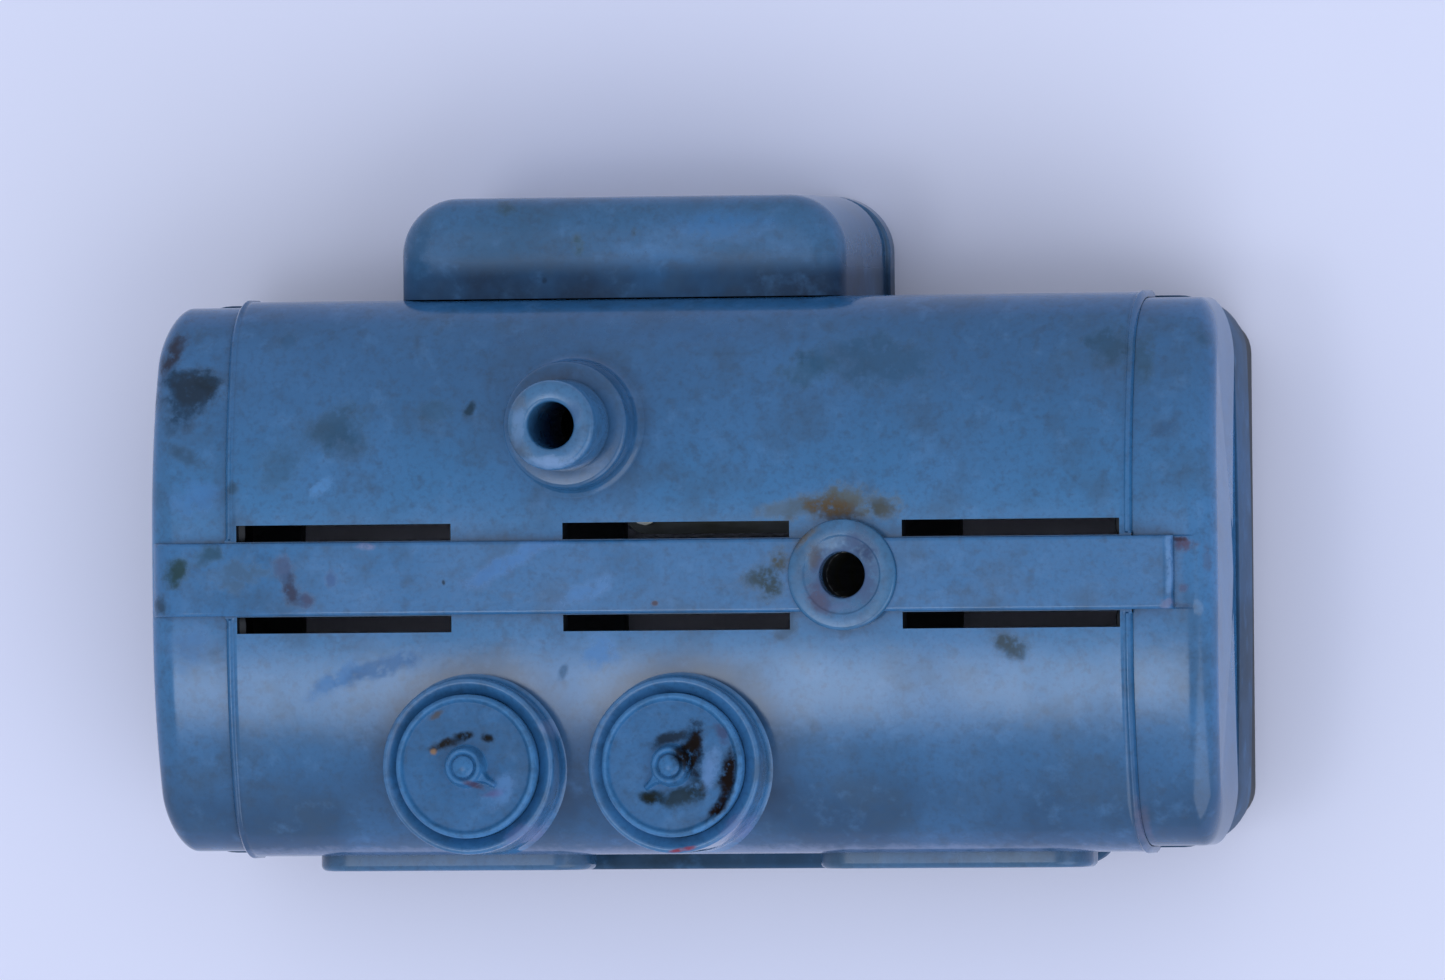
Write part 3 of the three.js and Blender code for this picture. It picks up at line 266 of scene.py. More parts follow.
def aged_abs(
    name, marks=(), base="#2a5c88", rubbed="#3270a0", dull=0.0, satin=0.185, grime_and_shade=0.5, corner=2.0,
    polish=0.05, shoulder="#1e466a", shade_fade=(-16.0, -22.0), film=0.0, gloss=0.5, rings=(),
):
    """The base colour, rubbed cleaner along the middle of the face and fading in y to the darker
    colour of its lower shoulder, which is painted shade, then each size of mottling: noise turned to an
    amount between two levels. A mark is x, y, half length and half width in mm, its turn in degrees,
    colour and strength: an ellipse whose edge a noise pulls about, and whose middle a finer one breaks
    up. A ring is x, y, the radii in mm where its colour starts and is full, the colour and its strength:
    painted shadow with dirt round a boss, or a painted highlight along an edge. Marks, and the film on
    the faded side, take gloss away. The colour darkens wherever the surface is shut in within corner
    millimetres of itself: grime, and painted shade in the corners. The upright walls, which nothing
    rubs, keep the tool's polish."""
    finish, tree, shader, place = new_finish(name)
    across = add_node(tree, "ShaderNodeSeparateXYZ", {0: place}).outputs["Y"]
    off_middle = add_node(tree, "ShaderNodeMath", {0: across}, operation="ABSOLUTE")
    cleaner = add_node(
        tree, "ShaderNodeMapRange", {"Value": off_middle.outputs[0], "From Min": 0.021, "From Max": 0.004},
        interpolation_type="SMOOTHSTEP",
    )
    color = add_node(
        tree, "ShaderNodeMix", {"Factor": cleaner.outputs[0], 6: tint(base), 7: tint(rubbed)},
        data_type="RGBA",
    ).outputs[2]
    # Painted shade: across the fade band in y the colour darkens towards the shoulder colour, for the side
    # that turns from the light.
    shaded_low_side = add_node(
        tree, "ShaderNodeMapRange", {"Value": across, "From Min": shade_fade[0] * MM, "From Max": shade_fade[1] * MM},
        interpolation_type="SMOOTHSTEP",
    )
    color = add_node(
        tree, "ShaderNodeMix", {"Factor": shaded_low_side.outputs[0], 6: color, 7: tint(shoulder)},
        data_type="RGBA",
    ).outputs[2]
    for x, y, none, full, code, strength in rings:
        out = add_node(tree, "ShaderNodeVectorMath", {0: place, 1: (-x * MM, -y * MM, 0)}, operation="ADD")
        out = add_node(tree, "ShaderNodeVectorMath", {0: out.outputs[0], 1: (1, 1, 0)}, operation="MULTIPLY")
        out = add_node(tree, "ShaderNodeVectorMath", {0: out.outputs[0]}, operation="LENGTH")
        there = add_node(
            tree, "ShaderNodeMapRange",
            {
                "Value": out.outputs["Value"], "From Min": none * MM, "From Max": full * MM,
                "To Max": strength,
            }, interpolation_type="SMOOTHSTEP",
        )
        color = add_node(
            tree, "ShaderNodeMix", {"Factor": there.outputs[0], 6: color, 7: tint(code)}, data_type="RGBA",
        ).outputs[2]
    cloud = add_node(tree, "ShaderNodeTexNoise", {"Vector": place, "Scale": 143, "Detail": 4})
    satin_there = add_node(
        tree, "ShaderNodeMapRange",
        {
            "Value": cloud.outputs["Fac"], "From Min": 0.3, "From Max": 0.7, "To Min": satin - 0.03 + dull,
            "To Max": satin + 0.04 + dull,
        },
    )
    facing = add_node(tree, "ShaderNodeTexCoord")
    facing = add_node(tree, "ShaderNodeSeparateXYZ", {0: facing.outputs["Normal"]})
    facing = add_node(tree, "ShaderNodeMath", {0: facing.outputs["Z"]}, operation="ABSOLUTE")
    upright = add_node(
        tree, "ShaderNodeMapRange", {"Value": facing.outputs[0], "From Min": 0.6, "From Max": 0.2},
        interpolation_type="SMOOTHSTEP",
    )
    rough = add_node(
        tree, "ShaderNodeMix", {"Factor": upright.outputs[0], 2: satin_there.outputs[0], 3: polish + dull},
    ).outputs[0]
    for size, low, high, most, code in MOTTLE:
        cloud = add_node(
            tree, "ShaderNodeTexNoise",
            {"Vector": place, "Scale": 1000 / size, "Detail": 4, "Roughness": 0.6},
        )
        amount = add_node(
            tree, "ShaderNodeMapRange",
            {
                "Value": cloud.outputs["Fac"], "From Min": low, "From Max": high, "To Max": most,
            }, interpolation_type="SMOOTHSTEP",
        )
        color = add_node(
            tree, "ShaderNodeMix", {"Factor": amount.outputs[0], 6: color, 7: tint(code)}, data_type="RGBA",
        ).outputs[2]
    pull = add_node(
        tree, "ShaderNodeTexNoise", {"Vector": place, "Scale": 420, "Detail": 6, "Roughness": 0.65},
    )
    pull = add_node(
        tree, "ShaderNodeVectorMath", {0: pull.outputs["Color"], 1: (0.5, 0.5, 0.5)}, operation="SUBTRACT",
    )
    pull = add_node(
        tree, "ShaderNodeVectorMath", {0: pull.outputs[0], 1: (2.6, 2.6, 0.0)}, operation="MULTIPLY",
    )
    speckle = add_node(
        tree, "ShaderNodeTexNoise", {"Vector": place, "Scale": 770, "Detail": 4, "Roughness": 0.65},
    )
    broken = add_node(
        tree, "ShaderNodeMapRange", {"Value": speckle.outputs["Fac"], "From Min": 0.25, "From Max": 0.46},
    )
    for x, y, length, width, turn, code, strength in marks:
        own = add_node(
            tree, "ShaderNodeMapping",
            {
                "Vector": place, "Location": (x * MM, y * MM, 0), "Rotation": (0, 0, math.radians(turn)),
                "Scale": (length * MM, width * MM, 1),
            },
            vector_type="TEXTURE",
        )
        own = add_node(tree, "ShaderNodeVectorMath", {0: own.outputs[0], 1: pull.outputs[0]}, operation="ADD")
        away = add_node(tree, "ShaderNodeVectorMath", {0: own.outputs[0]}, operation="LENGTH")
        there = add_node(
            tree, "ShaderNodeMapRange",
            {
                "Value": away.outputs["Value"], "From Min": 1.35, "From Max": 0.35, "To Max": strength,
            }, interpolation_type="SMOOTHSTEP",
        )
        there = add_node(
            tree, "ShaderNodeMath", {0: there.outputs[0], 1: broken.outputs[0]}, operation="MULTIPLY",
        )
        color = add_node(
            tree, "ShaderNodeMix", {"Factor": there.outputs[0], 6: color, 7: tint(code)}, data_type="RGBA",
        ).outputs[2]
        rough = add_node(
            tree, "ShaderNodeMath", {0: there.outputs[0], 1: 0.3, 2: rough}, operation="MULTIPLY_ADD",
        ).outputs[0]
    rough = add_node(
        tree, "ShaderNodeMath", {0: shaded_low_side.outputs[0], 1: film, 2: rough}, operation="MULTIPLY_ADD",
    ).outputs[0]
    shine = add_node(
        tree, "ShaderNodeMapRange",
        {
            "Value": rough, "From Min": satin + 0.08 + dull, "From Max": satin + 0.3 + dull,
            "To Min": gloss, "To Max": 0.3 * gloss,
        },
    )
    tree.links.new(shine.outputs[0], shader.inputs["Specular IOR Level"])
    # Painted shade with grime: the colour darkens towards #1b3049 wherever the AO node finds the surface shut
    # in.
    shut_in = add_node(tree, "ShaderNodeAmbientOcclusion", {"Distance": corner * MM}, samples=12)
    caught = add_node(
        tree, "ShaderNodeMapRange",
        {"Value": shut_in.outputs["AO"], "From Min": 0.86, "From Max": 0.35, "To Max": grime_and_shade},
    )
    color = add_node(
        tree, "ShaderNodeMix", {"Factor": caught.outputs[0], 6: color, 7: tint("#1b3049")},
        data_type="RGBA",
    ).outputs[2]
    tree.links.new(color, shader.inputs["Base Color"])
    tree.links.new(rough, shader.inputs["Roughness"])
    shader.inputs["IOR"].default_value = 1.54
    peel = add_node(tree, "ShaderNodeTexNoise", {"Vector": place, "Scale": 1250, "Detail": 2})
    peel = add_node(
        tree, "ShaderNodeBump", {"Height": peel.outputs["Fac"], "Strength": 0.25, "Distance": 0.00002},
    )
    sink = add_node(tree, "ShaderNodeTexNoise", {"Vector": place, "Scale": 143, "Detail": 1})
    sink = add_node(
        tree, "ShaderNodeBump",
        {"Height": sink.outputs["Fac"], "Strength": 0.12, "Distance": 0.0002, "Normal": peel.outputs[0]},
    )
    tree.links.new(sink.outputs[0], shader.inputs["Normal"])
    return finish


# The same ABS inside the casing and in the vents, painted nearly black: painted shade where light hardly
# reaches, with no gloss left and settled dust. Its first three mixes are the base, the shoulder and the
# roughness; the rest get darker colours here.
shade_painted_abs = aged_abs(
    "blue_abs_inside_painted_shade", base="#0c1520", rubbed="#0c1520", shoulder="#0c1520", dull=0.3, polish=0.3,
)
shade_painted_mix = [node for node in shade_painted_abs.node_tree.nodes if node.bl_idname == "ShaderNodeMix"]
for node, code in zip(shade_painted_mix[3:], ("#101b28", "#0b121b", "#162435", "#0a1018", "#0c1520", "#05080c")):
    node.inputs[7].default_value = tint(code)

shell_marks = (
    (-31.8, 13.9, 3.6, 1.7, 25, "#2f4c60", 0.6),
    (-30.5, 12.2, 2.2, 1.6, 10, "#2e4f68", 0.5),
    (-19.3, 15.2, 0.45, 0.85, -25, "#182d36", 0.8),
    (-22.5, 15.0, 1.8, 1.0, 10, "#2e4f66", 0.5),
    (-37.0, 10.2, 2.6, 2.0, 30, "#31526a", 0.45),
    (-33.0, 8.2, 1.1, 0.6, 40, "#5a90c6", 0.6),
    (-41.2, 8.3, 0.6, 0.7, 0, "#1e3036", 0.5),
    (-36.6, 21.6, 1.0, 1.0, 0, "#2e4f6a", 0.4),
    (15.4, 6.4, 4.6, 1.5, 4, "#5c5a48", 0.8),
    (14.6, 5.9, 2.4, 1.0, -8, "#5e4c34", 0.95),
    (19.4, 5.8, 1.4, 0.9, -20, "#4c4a3c", 0.85),
    (9.8, 5.9, 2.6, 0.8, 5, "#5a6468", 0.6),
    (10.0, -4.2, 1.6, 1.4, 40, "#46505a", 0.6),
    (39.6, 20.7, 2.0, 2.4, 60, "#2a4658", 0.6),
    (36.5, 19.5, 2.4, 1.4, 20, "#31526c", 0.2),
    (41.4, 18.6, 0.6, 2.6, 0, "#2e4048", 0.2),
    (18.7, 19.3, 6.0, 2.6, 0, "#2c506c", 0.6),
    (12.0, 18.6, 2.4, 1.4, 10, "#2c4c5c", 0.5),
    (30.8, -6.4, 1.9, 1.1, -12, "#3e4440", 0.8),
    (-7.2, -7.0, 1.7, 1.5, 0, "#5a8cc6", 0.5),
    (-10.6, -8.6, 1.0, 0.4, 60, "#2a3842", 0.35),
    (-32.0, -9.2, 3.4, 0.9, 30, "#5480b6", 0.45),
    (-27.0, -8.0, 4.2, 1.0, 20, "#3d6496", 0.5),
    (41.8, -22.6, 0.5, 1.8, 0, "#7a6c80", 0.3),
    (-3.0, 22.0, 14.0, 1.6, 0, "#355d88", 0.35),
    # A pale line along the lower edge: wear, and a painted reflection of the paper at the grazing shoulder.
    (0.0, -25.1, 60.0, 0.7, 0, "#8c98ba", 0.3),
)
# Painted shadow, with some dirt, round the two collars and the bush boss: darker rings set off up and to the
# right, away from the light.
shell_shade_rings = [
    (x + 0.9, DIAL_Y + 0.6, 10.9, 7.6, "#14304c", 0.8) for x in DIAL_X
] + [(HUB_X + 0.6, HUB_Y + 0.2, 7.4, 5.6, "#1a3956", 0.6)]
face_abs = aged_abs("blue_abs_moulded", shell_marks, rings=shell_shade_rings)


FLAT_COLUMN = 60  # a column of the face's grid that is clear of the beads


def bored(grid, x_edges, y_edges, centre, radius):
    """The patch between a square opening in the grid and a round hole: every point of the square's
    edge slides along its ray to the circle and takes the face's height there. Also the cells it opens."""
    j0, j1 = (int(np.argmin(abs(grid[0, :, 0] - x))) for x in x_edges)
    i0, i1 = (int(np.argmin(abs(grid[:, FLAT_COLUMN, 1] - y))) for y in y_edges)
    edge = np.concatenate((grid[i0, j0:j1], grid[i0:i1, j1], grid[i1, j1:j0:-1], grid[i1:i0:-1, j0]))
    ray = np.arctan2(edge[:, 1] - centre[1], edge[:, 0] - centre[0])
    hole = np.column_stack((centre[0] + radius * np.cos(ray), centre[1] + radius * np.sin(ray), 0 * ray))
    hole[:, 2] = face_height(hole[:, 1])
    middle = (edge + hole) / 2
    middle[:, 2] = face_height(middle[:, 1])
    return sheet(np.stack((edge, middle, hole)), around=True), (slice(i0, i1), slice(j0, j1))


openings = [((EYE_X - 2.9, EYE_X + 2.9), (-2.9, 2.9), (EYE_X, 0.0), EYE_BORE)]
openings.append(((HUB_X - 4.2, HUB_X + 4.2), (HUB_Y - 4.2, HUB_Y + 4.2), (HUB_X, HUB_Y), HUB_BORE))
openings += [((x - 2.6, x + 2.6), (DIAL_Y - 2.6, DIAL_Y + 2.6), (x, DIAL_Y), SHAFT_HOLE) for x in DIAL_X]
bead_x = SHELL_HALF - BEAD_WIDTH * np.linspace(0, 1, 19)
columns = spread(np.concatenate((bead_x, -bead_x, *VENT_SPANS, *(x for x, _, _, _ in openings))), 1.1)
rounding = np.clip((np.abs(columns) - SHELL_HALF + BEAD_WIDTH) / BEAD_WIDTH, 0, 1)
raised = BEAD_HEIGHT * np.sin(np.pi * np.clip((rounding - 0.2) / 0.55, 0, 1)) ** 2
raised = raised - 0.04 * np.sin(np.pi * np.clip(rounding / 0.25, 0, 1))
raised -= END_DROP * np.clip((rounding - 0.68) / 0.32, 0, 1) ** 1.5
crown_run = section_sizes(0.0, 0.0)[2] * math.sin(section_sizes(0.0, 0.0)[6])
flat_rows = np.concatenate((spread((0, 2.9, *VENT_EDGES), 0.7), (3.55, 3.7, 5.2, FLAT)))
flat_rows = np.unique(np.round(flat_rows, 6))
upper = spread((FLAT, *(y for y in openings[1][1]), FLAT + crown_run), 0.9)[1:]
lower = spread((FLAT, -openings[2][1][1], -openings[2][1][0], FLAT + crown_run), 0.9)[1:]
turn_rows, drop_rows = np.linspace(0, 1, 19)[1:], np.linspace(0, 1, 5)[1:]
halves = [
    half_section(-raised, -raised, flat, (crown - FLAT) / crown_run, turn_rows, drop_rows)
    for flat, crown in ((flat_rows, upper), (flat_rows[1:], lower))
]
y = np.concatenate((-halves[1][0][::-1], halves[0][0]))
z = np.concatenate((halves[1][1][::-1], halves[0][1]))
z = np.where(np.abs(y) < 3.6, FACE, z)
face_grid = np.stack((np.broadcast_to(columns, y.shape), y, z), axis=-1)
cell_x = (columns[1:] + columns[:-1]) / 2
cell_y = np.abs(face_grid[1:, FLAT_COLUMN, 1] + face_grid[:-1, FLAT_COLUMN, 1]) / 2
in_row = (cell_y > VENT_EDGES[0]) & (cell_y < VENT_EDGES[1])
in_span = np.any([(cell_x > a) & (cell_x < b) for a, b in VENT_SPANS], axis=0)
solid_cells = ~(in_row[:, None] & in_span[None, :])
patches = []
for opening in openings:
    patch, cells = bored(face_grid, *opening)
    patches.append(patch)
    solid_cells[cells] = False
face_shell = mould(
    "face_shell", [sheet(face_grid, keep=solid_cells), *patches], face_abs, inside=(0, 0, 12), crease=30,
)
thicken(face_shell, WALL)
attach(face_shell, "casing")
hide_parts("middle_shell")

# ------------------------------------------------------------------ collars and bush boss
# Part of the same moulding: a collar round each dial, with the well that the dial sits in, and the
# round boss that carries the guide bush. Each rises from the face through a small cove.
BOSS_RADIUS, BOSS_TOP = 5.85, 30.0
COLLAR_RADIUS, COLLAR_TOP, WELL_FLOOR, WELL_RADIUS, WELL_LIP = 7.95, 29.5, 28.5, 6.53, 28.9


def eased(corners, closed=False, steps=6):
    """A line through corners (a, b, radius), with each corner turned into an arc of its radius."""
    corners = np.array(corners, float)
    run = []
    for k, (*corner, radius) in enumerate(corners):
        if radius == 0 or (not closed and k in (0, len(corners) - 1)):
            run.append([corner])
            continue
        to_last = corners[k - 1, :2] - corner
        to_next = corners[(k + 1) % len(corners), :2] - corner
        to_last, to_next = to_last / np.linalg.norm(to_last), to_next / np.linalg.norm(to_next)
        half = math.acos(np.clip(to_last @ to_next, -1, 1)) / 2
        middle = (to_last + to_next) / np.linalg.norm(to_last + to_next) * radius / math.sin(half)
        first, last = to_last * radius / math.tan(half) - middle, to_next * radius / math.tan(half) - middle
        sweep = math.pi - 2 * half
        share = np.linspace(0, 1, steps + 1)[:, None]
        arc = (np.sin((1 - share) * sweep) * first + np.sin(share * sweep) * last) / math.sin(sweep)
        run.append(np.array(corner) + middle + arc)
    return np.concatenate(run)


def rising_boss(centre, radius, cove, upper):
    """A boss that grows out of the face: for each angle round it, a quarter-circle cove leaves the
    face at radius + cove and ends upright at radius; the upper profile of (radius, z) points follows,
    and the underside runs back inside the wall. The cove shrinks where the casing's side is near."""
    angle = np.linspace(0, 2 * np.pi, 145)[:-1]
    down = np.clip(-np.sin(angle), 1e-6, 1)
    room = np.where(centre[1] < 0, (HALF_WIDTH - 0.06 + centre[1]) / down - radius, 99)
    cove = np.clip(room, 0.04, cove)
    turn = np.linspace(0, np.pi / 2, 11)[:, None]
    out = radius + cove * (1 - np.sin(turn))
    base = face_height(centre[1] + out * np.sin(angle))
    rise = base - 0.02 + cove * (1 - np.cos(turn))
    foot_out, foot_z = out[-1], rise[-1]
    climb = np.linspace(0, 1, 9)[1:-1, None]
    wall_z = foot_z + (upper[0, 1] - foot_z) * climb
    top_out = np.broadcast_to(upper[:, :1], (len(upper), len(angle)))
    top_z = np.broadcast_to(upper[:, 1:], (len(upper), len(angle)))
    under = np.linspace(0, 1, 7)[:, None]
    under_out = upper[-1, 0] + (out[0] - 0.3 - upper[-1, 0]) * under
    under_z = face_height(centre[1] + under_out * np.sin(angle)) - 0.8
    radii = np.concatenate((out, foot_out + (upper[0, 0] - foot_out) * climb, top_out, under_out, out[:1]))
    heights = np.concatenate((rise, wall_z, top_z, under_z, rise[:1]))
    return np.stack((centre[0] + radii * np.cos(angle), centre[1] + radii * np.sin(angle), heights), axis=-1)


boss_top = eased(
    [
        (BOSS_RADIUS - 0.1, BOSS_TOP - 1.2, 0), (BOSS_RADIUS - 0.1, BOSS_TOP, 0.45),
        (HUB_BORE, BOSS_TOP, 0.1), (HUB_BORE, 25.6, 0),
    ]
)
bush_boss = mould(
    "bush_boss", [sheet(rising_boss((HUB_X, HUB_Y), BOSS_RADIUS, 0.9, boss_top), around=True)], face_abs,
)
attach(bush_boss, "casing")
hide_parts("middle_shell")

collar_top = eased([
    (COLLAR_RADIUS, COLLAR_TOP - 1.2, 0), (COLLAR_RADIUS, COLLAR_TOP, 0.3), (
        COLLAR_RADIUS - 0.45, COLLAR_TOP, 0.3,
    ),
    (WELL_RADIUS, WELL_LIP, 0.08), (
        WELL_RADIUS, WELL_FLOOR, 0.15,
    ), (SHAFT_HOLE, WELL_FLOOR, 0.08), (SHAFT_HOLE, 25.2, 0),
])
collar_marks = (
    (1.0, -24.6, 1.3, 0.2, 8, "#8c2c3e", 0.9),
    (8.0, -17.4, 0.6, 1.6, 0, "#3c4c5c", 0.5),
    (-11.6, -13.6, 0.5, 0.9, 20, "#7f90b4", 0.4),
    (-14.2, -23.2, 1.6, 0.8, 40, "#6c74a0", 0.5),
    (5.6, -22.8, 1.8, 0.9, 45, "#646e9c", 0.5),
)
# The lip of the left-hand collar alone is painted paler: a painted highlight along its edge, where it is also
# rubbed.
collar_abs = aged_abs(
    "blue_abs_collars", collar_marks, base="#2c6290", rubbed="#2c6290", shoulder="#2c6290", satin=0.2,
    grime_and_shade=0.0, rings=[(x, DIAL_Y, 7.0, 7.5, "#4a7fae", 0.5) for x in DIAL_X[:1]]
)
for side, x in zip(("left", "right"), DIAL_X):
    collar = mould(
        f"dial_collar_{side}",
        [sheet(rising_boss((x, DIAL_Y), COLLAR_RADIUS, 0.5, collar_top), around=True)], collar_abs,
    )
    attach(collar, "casing")
    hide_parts("middle_shell")

# ------------------------------------------------------------------ end caps
# Two rounded mouldings of the same blue ABS close the ends, half a millimetre below the middle
# shell, their ends bowed out a little. The right-hand one has a low ledge where the strap stops.
STEP = 0.5
END_X, END_RUN, END_PLAN, END_FACE, END_BOW = 49.4, 2.4, 5.2, 2.0, 0.25
STRAP_HALF, LEDGE = 3.3, 0.25
cap_flat = spread((0, STRAP_HALF - 0.12, STRAP_HALF + 0.03, FLAT), 0.8)
cap_crown, cap_turn, cap_drop = (np.linspace(0, 1, steps)[1:] for steps in (13, 21, 6))
swing = np.radians(np.linspace(0, 90, 25))
cap_run = spread((SHELL_HALF, 45.55, 45.65, END_X - END_RUN), 0.3)[:-1]
cap_x = np.concatenate((cap_run, END_X - END_RUN * (1 - np.sin(swing))))
opened = np.concatenate((np.zeros(len(cap_run)), 1 - np.cos(swing)))
rows_y, rows_z = half_section(
    STEP + END_PLAN * opened, STEP + END_FACE * opened, cap_flat, cap_crown, cap_turn, cap_drop,
)
cap_y = np.concatenate((-rows_y[:0:-1], rows_y))
cap_z = np.concatenate((rows_z[:0:-1], rows_z))
bow = END_BOW * (cap_y / 18) ** 2 * (cap_x - SHELL_HALF) / (END_X - SHELL_HALF)
cap_grid = np.stack((cap_x - bow, cap_y, cap_z), axis=-1)
on_ledge = (np.abs(cap_y) < STRAP_HALF - 0.06) * (cap_x > 45.6) * np.clip((48.8 - cap_x) / 2.0, 0, 1)
ledged = cap_grid + LEDGE * on_ledge[..., None] * (0, 0, 1)


def end_wall(ring):
    """Fills the flat end: the last ring shrinks in steps onto the middle of its lower edge."""
    middle = np.array((ring[0, 0], 0.0, SEAM))
    share = np.array((0, 0.06, 0.2, 0.45, 0.75, 1))[:, None, None]
    return middle + (ring[None] - middle) * (1 - share)


right_marks = (
    (46.9, 2.5, 1.0, 0.6, 10, "#584c60", 0.9),
    (46.4, 2.9, 0.9, 0.25, 0, "#40303a", 0.9),
    (48.6, 1.2, 0.4, 1.4, 0, "#4c3c48", 0.3),
    (46.8, -1.4, 0.5, 0.4, 0, "#544864", 0.5),
    (46.6, -3.1, 1.0, 0.3, 0, "#3c4258", 0.6),
    (42.5, 19.0, 1.2, 2.8, 0, "#2c4650", 0.5),
    (48.0, 20.8, 0.8, 0.8, 0, "#2a4a62", 0.5),
    (42.3, -22.6, 0.5, 1.8, 0, "#806c80", 0.2),
    (44.6, 12.8, 1.4, 1.0, 30, "#2e5074", 0.5),
)
left_marks = (
    (-45.4, 17.0, 2.7, 2.0, 12, "#2a2c2c", 1.0),
    (-45.9, 16.4, 2.9, 2.6, 0, "#243a50", 0.7),
    (-47.4, 20.6, 0.9, 2.4, -22, "#302e38", 0.9),
    (-43.9, 18.0, 1.2, 1.0, 30, "#1e2c36", 0.5),
    (-45.6, 11.2, 2.4, 0.8, -25, "#2e4a62", 0.6),
    (-42.4, 10.0, 1.0, 1.8, 0, "#2c4860", 0.2),
    (-44.6, 7.6, 2.2, 1.8, 0, "#4078b4", 0.4),
    (-45.8, -6.0, 2.6, 1.8, 0, "#4c76a8", 0.4),
)
for side, grid, marks in (("right", ledged, right_marks), ("left", cap_grid * (-1, 1, 1), left_marks)):
    cap = mould(
        f"end_cap_{side}", [sheet(grid), sheet(end_wall(grid[:, -1]))],
        aged_abs(f"blue_abs_end_{side}", marks), inside=(math.copysign(43, grid[0, 0, 0]), 0, 14), crease=42,
    )
    thicken(cap, WALL, 0.1)
    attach(cap, "casing")
    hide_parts(f"{side}_end_cap")

# ------------------------------------------------------------------ strap and fixing eye
# A flat moulded strap runs over the whole face, its left tail bent down round the end cap. The
# fixing screw's eye is moulded on it; screws and washers have worn the ring round its bore.
STRAP_TOP, STRAP_END, TAIL_ANGLE, TAIL_THICK, THIN_FROM = 27.9, 45.8, 50.0, 0.72, -34.0
EYE_RADIUS, EYE_TOP, RECESS_RADIUS, RECESS = 5.0, 28.4, 3.6, 0.15
BEND_X, CAP_TOP = END_X - END_RUN, FACE - STEP


def strap_run(upper, lower):
    """A strap section at every step of its length: across it from edge to edge and from the lower to
    the upper line, with its top edges turned by a 0.25 mm arc. Its ends draw in and close flat."""
    radius = 0.25
    arc = np.linspace(0, np.pi / 2, 6)
    inboard = (STRAP_HALF - radius - 0.07, STRAP_HALF / 2, 0.0)
    across = np.concatenate(((STRAP_HALF,), STRAP_HALF - radius * (1 - np.cos(arc)), inboard))
    share = (STRAP_TOP - FACE - radius * (1 - np.sin(arc))) / (STRAP_TOP - FACE)
    share = np.concatenate(((0.0,), share, (1.0, 1.0, 1.0)))
    across = np.concatenate((across, -across[-2::-1]))
    share = np.concatenate((share, share[-2::-1]))
    rise = lower[:, None, :] + (upper - lower)[:, None, :] * share[None, :, None]
    return np.stack((rise[..., 0], np.broadcast_to(across, rise.shape[:2]), rise[..., 1]), axis=-1)


def closed_run(run):
    """Closes a strap run at both ends by shrinking the end sections onto their middles."""
    ends = []
    for end in (run[0], run[-1]):
        middle = end.mean(axis=0)
        ends.append(sheet(middle + (end - middle) * np.array((1, 0.5, 0))[:, None, None], around=True))
    return [sheet(run, around=True), *ends]


bend = np.radians(TAIL_ANGLE) * np.linspace(0, 1, 19)[1:]
left_x = spread((EYE_X - 3.4, -SHELL_HALF, -SHELL_HALF - 0.05, -BEND_X), 1.3)[::-1]
thinning = np.clip((THIN_FROM - left_x) / (BEND_X + THIN_FROM), 0, 1)
tail = [
    np.column_stack(
        (-BEND_X - (END_RUN + away) * np.sin(bend), CAP_TOP - END_FACE + (END_FACE + away) * np.cos(bend))
    )
    for away in (TAIL_THICK + (0.1 - TAIL_THICK) * bend / bend[-1], -0.12 + 0 * bend)
]
strap_top_z = STRAP_TOP - (STRAP_TOP - CAP_TOP - TAIL_THICK) * thinning**2 * (3 - 2 * thinning)
left_top = np.concatenate((np.column_stack((left_x, strap_top_z)), tail[0]))
left_low_z = np.where(left_x > -SHELL_HALF - 0.02, FACE - 0.05, CAP_TOP - 0.12)
left_low = np.concatenate((np.column_stack((left_x, left_low_z)), tail[1]))
ease = np.linspace(0, np.pi / 2, 9)
right_breaks = (EYE_X + 3.4, SHELL_HALF + 0.25, SHELL_HALF + 0.35, STRAP_END - 0.78, STRAP_END - 0.7)
right_run = spread(right_breaks, 2.0)[:-1]
right_x = np.concatenate((right_run, STRAP_END - 0.7 * (1 - np.sin(ease))))
right_z = np.concatenate((np.full(len(right_run), STRAP_TOP), STRAP_TOP - 0.85 * (1 - np.cos(ease))))
right_top = np.column_stack((right_x, right_z))
right_low = np.column_stack((right_x, np.where(right_x < SHELL_HALF + 0.3, FACE, CAP_TOP + 0.02)))
eye_profile = eased([
    (EYE_BORE, FACE + 0.02, 0.1), (EYE_RADIUS, FACE + 0.02, 0.1), (EYE_RADIUS, EYE_TOP, 0.32),
    (RECESS_RADIUS, EYE_TOP, 0.1), (
        RECESS_RADIUS - 0.15, EYE_TOP - RECESS, 0.08,
    ), (EYE_BORE, EYE_TOP - RECESS, 0.2),
], closed=True)


def turned(profile, centre, steps=128):
    """A profile of (radius, z) points turned about the Z axis through centre."""
    angle = np.linspace(0, 2 * np.pi, steps + 1)[:-1]
    radius, height = profile[:, :1], profile[:, 1:]
    return np.stack(
        (centre[0] + radius * np.cos(angle), centre[1] + radius * np.sin(angle), height + 0 * angle),
        axis=-1,
    )


